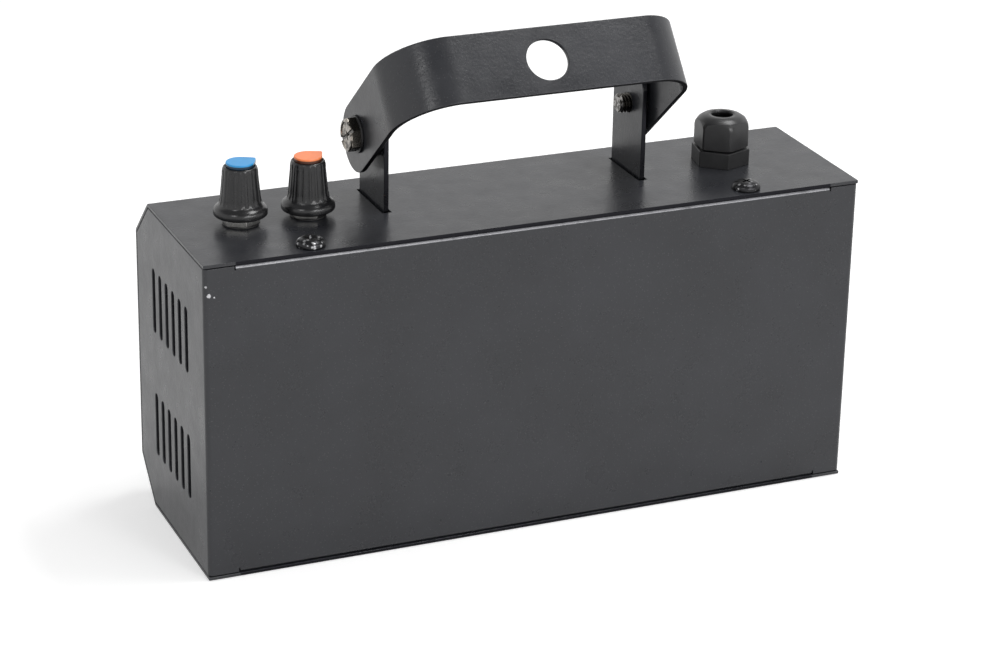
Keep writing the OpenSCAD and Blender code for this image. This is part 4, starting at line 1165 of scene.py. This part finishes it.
class STROBE_OT_driver(Operator):
    """Parts of the driver board behind the lamp stack"""

    bl_idname = "strobe.driver"
    bl_label = "Driver board"

    def execute(self, context):
        self.capacitors()
        for node in (
            "driver_board", "transformer_core", "transformer_coil", "heat_sink", "power_transistors",
            "bridge_rectifier", "control_chip", "mains_terminal", "fuse_clips",
        ):
            soften(node, context.scene.strobe_detail.small_edge)
        self.fuse()
        return {"FINISHED"}

    @staticmethod
    def capacitors():
        """Sleeved cans with a crimp near the board and a scored vent in the top."""
        cans, tops = bmesh.new(), bmesh.new()
        for low, high in solids_of("storage_capacitors"):
            middle = (low + high) / 2
            radius = (high.x - low.x) / 2
            tall = high.y - low.y
            lip, sunk = radius - 1.4 * MM, 0.3 * MM
            can = turned([
                (0, 0), (radius, 0, 0.6 * MM), (radius, 2.2 * MM, 0.4 * MM),
                (radius - 0.7 * MM, 3.0 * MM, 0.5 * MM), (radius, 3.8 * MM, 0.4 * MM),
                (radius, tall, 0.8 * MM), (lip, tall), (lip, tall - sunk), (0, tall - sunk),
            ])
            joined(cans, moved(can, (middle.x, low.y, middle.z), (0, 1, 0)))
            blades = cross_cutters(1.2 * radius, 0.25 * MM, 0.12 * MM, 0.2 * MM, 0.3)
            top = carved(rod(radius - 1.5 * MM, 0, 0.2 * MM), *blades)
            joined(tops, moved(top, (middle.x, high.y - sunk, middle.z), (0, 1, 0)))
        make_node_piece("storage_capacitors", cans)
        make_piece("capacitor_tops", tops, BODY_OF["storage_capacitors"], "aluminium")

    @staticmethod
    def fuse():
        """A glass tube between two plated end caps, with its wire inside."""
        low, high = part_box("fuse")
        middle = (low + high) / 2
        radius = (high.z - low.z) / 2
        tall = high.x - low.x
        bore, outer, inset = 0.78 * radius, 0.94 * radius, 0.5 * MM
        corners = [(bore, inset), (outer, inset), (outer, tall - inset), (bore, tall - inset)]
        tube = turned(corners, closed=True)
        make_node_piece("fuse", moved(tube, (low.x, middle.y, middle.z), (1, 0, 0)), "fuse_tube")
        ends = bmesh.new()
        for place, facing in ((low.x, 1), (high.x, -1)):
            cap = turned([
                (0, 0), (radius, 0, 0.3 * MM), (radius, 5 * MM), (0.95 * radius, 5 * MM),
                (0.95 * radius, 0.4 * MM), (0, 0.4 * MM),
            ])
            joined(ends, moved(cap, (place, middle.y, middle.z), (facing, 0, 0)))
        wire = moved(rod(0.12 * MM, 0, tall, 12), (low.x, middle.y, middle.z), (1, 0, 0))
        make_piece("fuse_ends", joined(ends, wire), BODY_OF["fuse"], "plated_steel")


class STROBE_OT_rest(Operator):
    """Every piece that keeps its CAD shape"""

    bl_idname = "strobe.rest"
    bl_label = "Pieces kept as they are"

    def execute(self, context):
        for name, piece in NODES.items():
            if not piece.hide_render:
                dress(piece, material_for(SLOT_OF[name]))
        return {"FINISHED"}


class StageSettings(PropertyGroup):
    """Camera, lamps and floor."""

    azimuth: turning("Azimuth", "Direction of the camera about the object", 156.7139)
    elevation: turning("Elevation", "Height of the camera above the horizon", 22.5036)
    roll: turning("Roll", "Turn of the camera about its own axis", 1.1465)
    distance: length("Distance", "Distance from the camera to its target", 927.1726)
    target: FloatVectorProperty(
        name="Target", description="Point that the camera looks at", subtype="XYZ", unit="LENGTH",
        default=(-0.0007018, -0.00117715, 0.05227963),
    )
    lens: number("Lens", "Focal length on a 36 mm sensor, in millimetres", 109.79)
    sky: number("Sky", "Strength of the even light on matt surfaces", 0.45)
    zenith: number("Zenith", "Strength of the sky overhead in mirror surfaces", 0.3)
    strip: number("Rear strip", "Power of the long low softbox behind the camera, in watts", 5.0)
    overhead: number("Overhead softbox", "Power of the long softbox overhead, in watts", 4.7)
    softbox: number("Side softboxes", "Power of each side softbox, in watts", 1.6)
    floor_glow: number("Floor glow", "Light of the floor that only the camera and mirrors see", 0.45)
    far_glow: number("Far glow", "How much stronger the floor's glow is far away", 1.45)
    floor: share("Floor", "Grey level of the floor", 0.8)


class STROBE_OT_stage(Operator):
    """Pale floor, even sky, four softboxes and the camera"""

    bl_idname = "strobe.stage"
    bl_label = "Studio"

    def execute(self, context):
        settings = context.scene.strobe_stage
        self.make_floor(settings)
        self.make_sky(context, settings)
        self.make_softboxes(settings)
        self.make_camera(context, settings)
        context.scene.view_settings.view_transform = "Standard"
        return {"FINISHED"}

    @staticmethod
    def make_floor(settings):
        """A wide disc that glows a little for camera, mirror and glass rays, and can't be seen from below."""
        bm = bmesh.new()
        bmesh.ops.create_circle(bm, cap_ends=True, segments=96, radius=4.0)
        floor = placed_object("floor", mesh_of(moved(bm, (0, 0, -0.2 * MM)), "floor"))
        shader = Shader("floor_paint")
        matt = shader.node("ShaderNodeBsdfDiffuse", None, {"Color": rgba(settings.floor)})
        x, y = shader.parts()[:2]
        far = shader.span((x * x + y * y) ** 0.5, 0.6, 2.0)
        sockets = {"Color": shader.mix(far, 1.0, settings.far_glow), "Strength": settings.floor_glow}
        glow = shader.node("ShaderNodeEmission", None, sockets)
        both = shader.node("ShaderNodeAddShader", None, {0: matt, 1: glow})
        camera, mirror, glass = shader.rays()
        seen = (camera + mirror * 0.55 + glass).clamped()
        face = shader.node("ShaderNodeMixShader", None, {0: seen, 1: matt, 2: both})
        under = shader.node("ShaderNodeNewGeometry", out=6)
        sockets = {0: under, 1: face, 2: shader.node("ShaderNodeBsdfTransparent")}
        dress(floor, shader.output(shader.node("ShaderNodeMixShader", None, sockets)))

    @staticmethod
    def make_sky(context, settings):
        """Even light, white where the camera looks at it, and darker overhead in mirrors."""
        sky = Shader("studio_sky", "worlds")
        camera, mirror, glass = sky.rays()
        height = sky.parts(sky.node("ShaderNodeTexCoord"))[2]
        mirrored = sky.span(height, 0.45, 0.75, 1.0, settings.zenith)
        seen = (camera + glass).clamped()
        strength = settings.sky + seen * (1.0 - settings.sky) + mirror * (mirrored - settings.sky)
        light = sky.node("ShaderNodeBackground", None, {"Color": rgba(1.0), "Strength": strength})
        context.scene.world = sky.output(light, "World")

    @staticmethod
    def make_softboxes(settings):
        """Four area lamps that face the object and that the camera doesn't see."""
        boxes = {
            "softbox_over": ((-0.37, 0.0, 0.93), (0.60, 0.25), settings.overhead),
            "softbox_left": ((0.75, 0.55, 0.85), (0.30, 0.30), settings.softbox),
            "softbox_right": ((-0.25, 0.95, 0.80), (0.24, 0.24), settings.softbox),
            "softbox_rear": ((-0.45, 1.20, 0.62), (1.30, 0.12), settings.strip),
        }
        for name, (place, size, power) in boxes.items():
            lamp = bpy.data.lights.new(name, "AREA")
            lamp.shape = "RECTANGLE"
            lamp.size, lamp.size_y = size
            lamp.energy = power
            box = placed_object(name, lamp)
            box.location = place
            box.rotation_mode = "QUATERNION"
            box.rotation_quaternion = (Vector((0, 0, 0.06)) - Vector(place)).to_track_quat("-Z", "Y")
            box.visible_camera = False

    @staticmethod
    def make_camera(context, settings):
        """The photograph's view."""
        lens = bpy.data.cameras.new("camera")
        lens.sensor_width = 36.0
        lens.lens = settings.lens
        camera = placed_object("camera", lens)
        level = math.cos(settings.elevation)
        back = Vector((
            math.sin(settings.azimuth) * level, -math.cos(settings.azimuth) * level,
            math.sin(settings.elevation),
        ))
        camera.location = Vector(settings.target) + back * settings.distance
        camera.rotation_mode = "QUATERNION"
        roll = Quaternion((0, 0, 1), settings.roll)
        camera.rotation_quaternion = (-back).to_track_quat("-Z", "Y") @ roll
        context.scene.camera = camera


STEPS = [
    STROBE_OT_housing, STROBE_OT_yoke, STROBE_OT_pivots, STROBE_OT_screws, STROBE_OT_knobs, STROBE_OT_gland,
    STROBE_OT_lamps, STROBE_OT_driver, STROBE_OT_rest, STROBE_OT_stage,
]


class STROBE_PT_steps(Panel):
    """Lists the steps that dress the light"""

    bl_idname = "STROBE_PT_steps"
    bl_label = "Strobe light"
    bl_space_type = "VIEW_3D"
    bl_region_type = "UI"
    bl_category = "Strobe light"

    def draw(self, context):
        for step in STEPS:
            self.layout.operator(step.bl_idname)


CLASSES = [FinishSettings, DetailSettings, StageSettings, *STEPS, STROBE_PT_steps]


def register():
    for each in CLASSES:
        bpy.utils.register_class(each)
    bpy.types.Scene.strobe_finish = PointerProperty(type=FinishSettings)
    bpy.types.Scene.strobe_detail = PointerProperty(type=DetailSettings)
    bpy.types.Scene.strobe_stage = PointerProperty(type=StageSettings)


def unregister():
    del bpy.types.Scene.strobe_stage
    del bpy.types.Scene.strobe_detail
    del bpy.types.Scene.strobe_finish
    for each in reversed(CLASSES):
        bpy.utils.unregister_class(each)


def main():
    """Runs every step."""
    register()
    for step in STEPS:
        group, name = step.bl_idname.split(".")
        getattr(getattr(bpy.ops, group), name)()


if __name__ == "__main__":
    main()
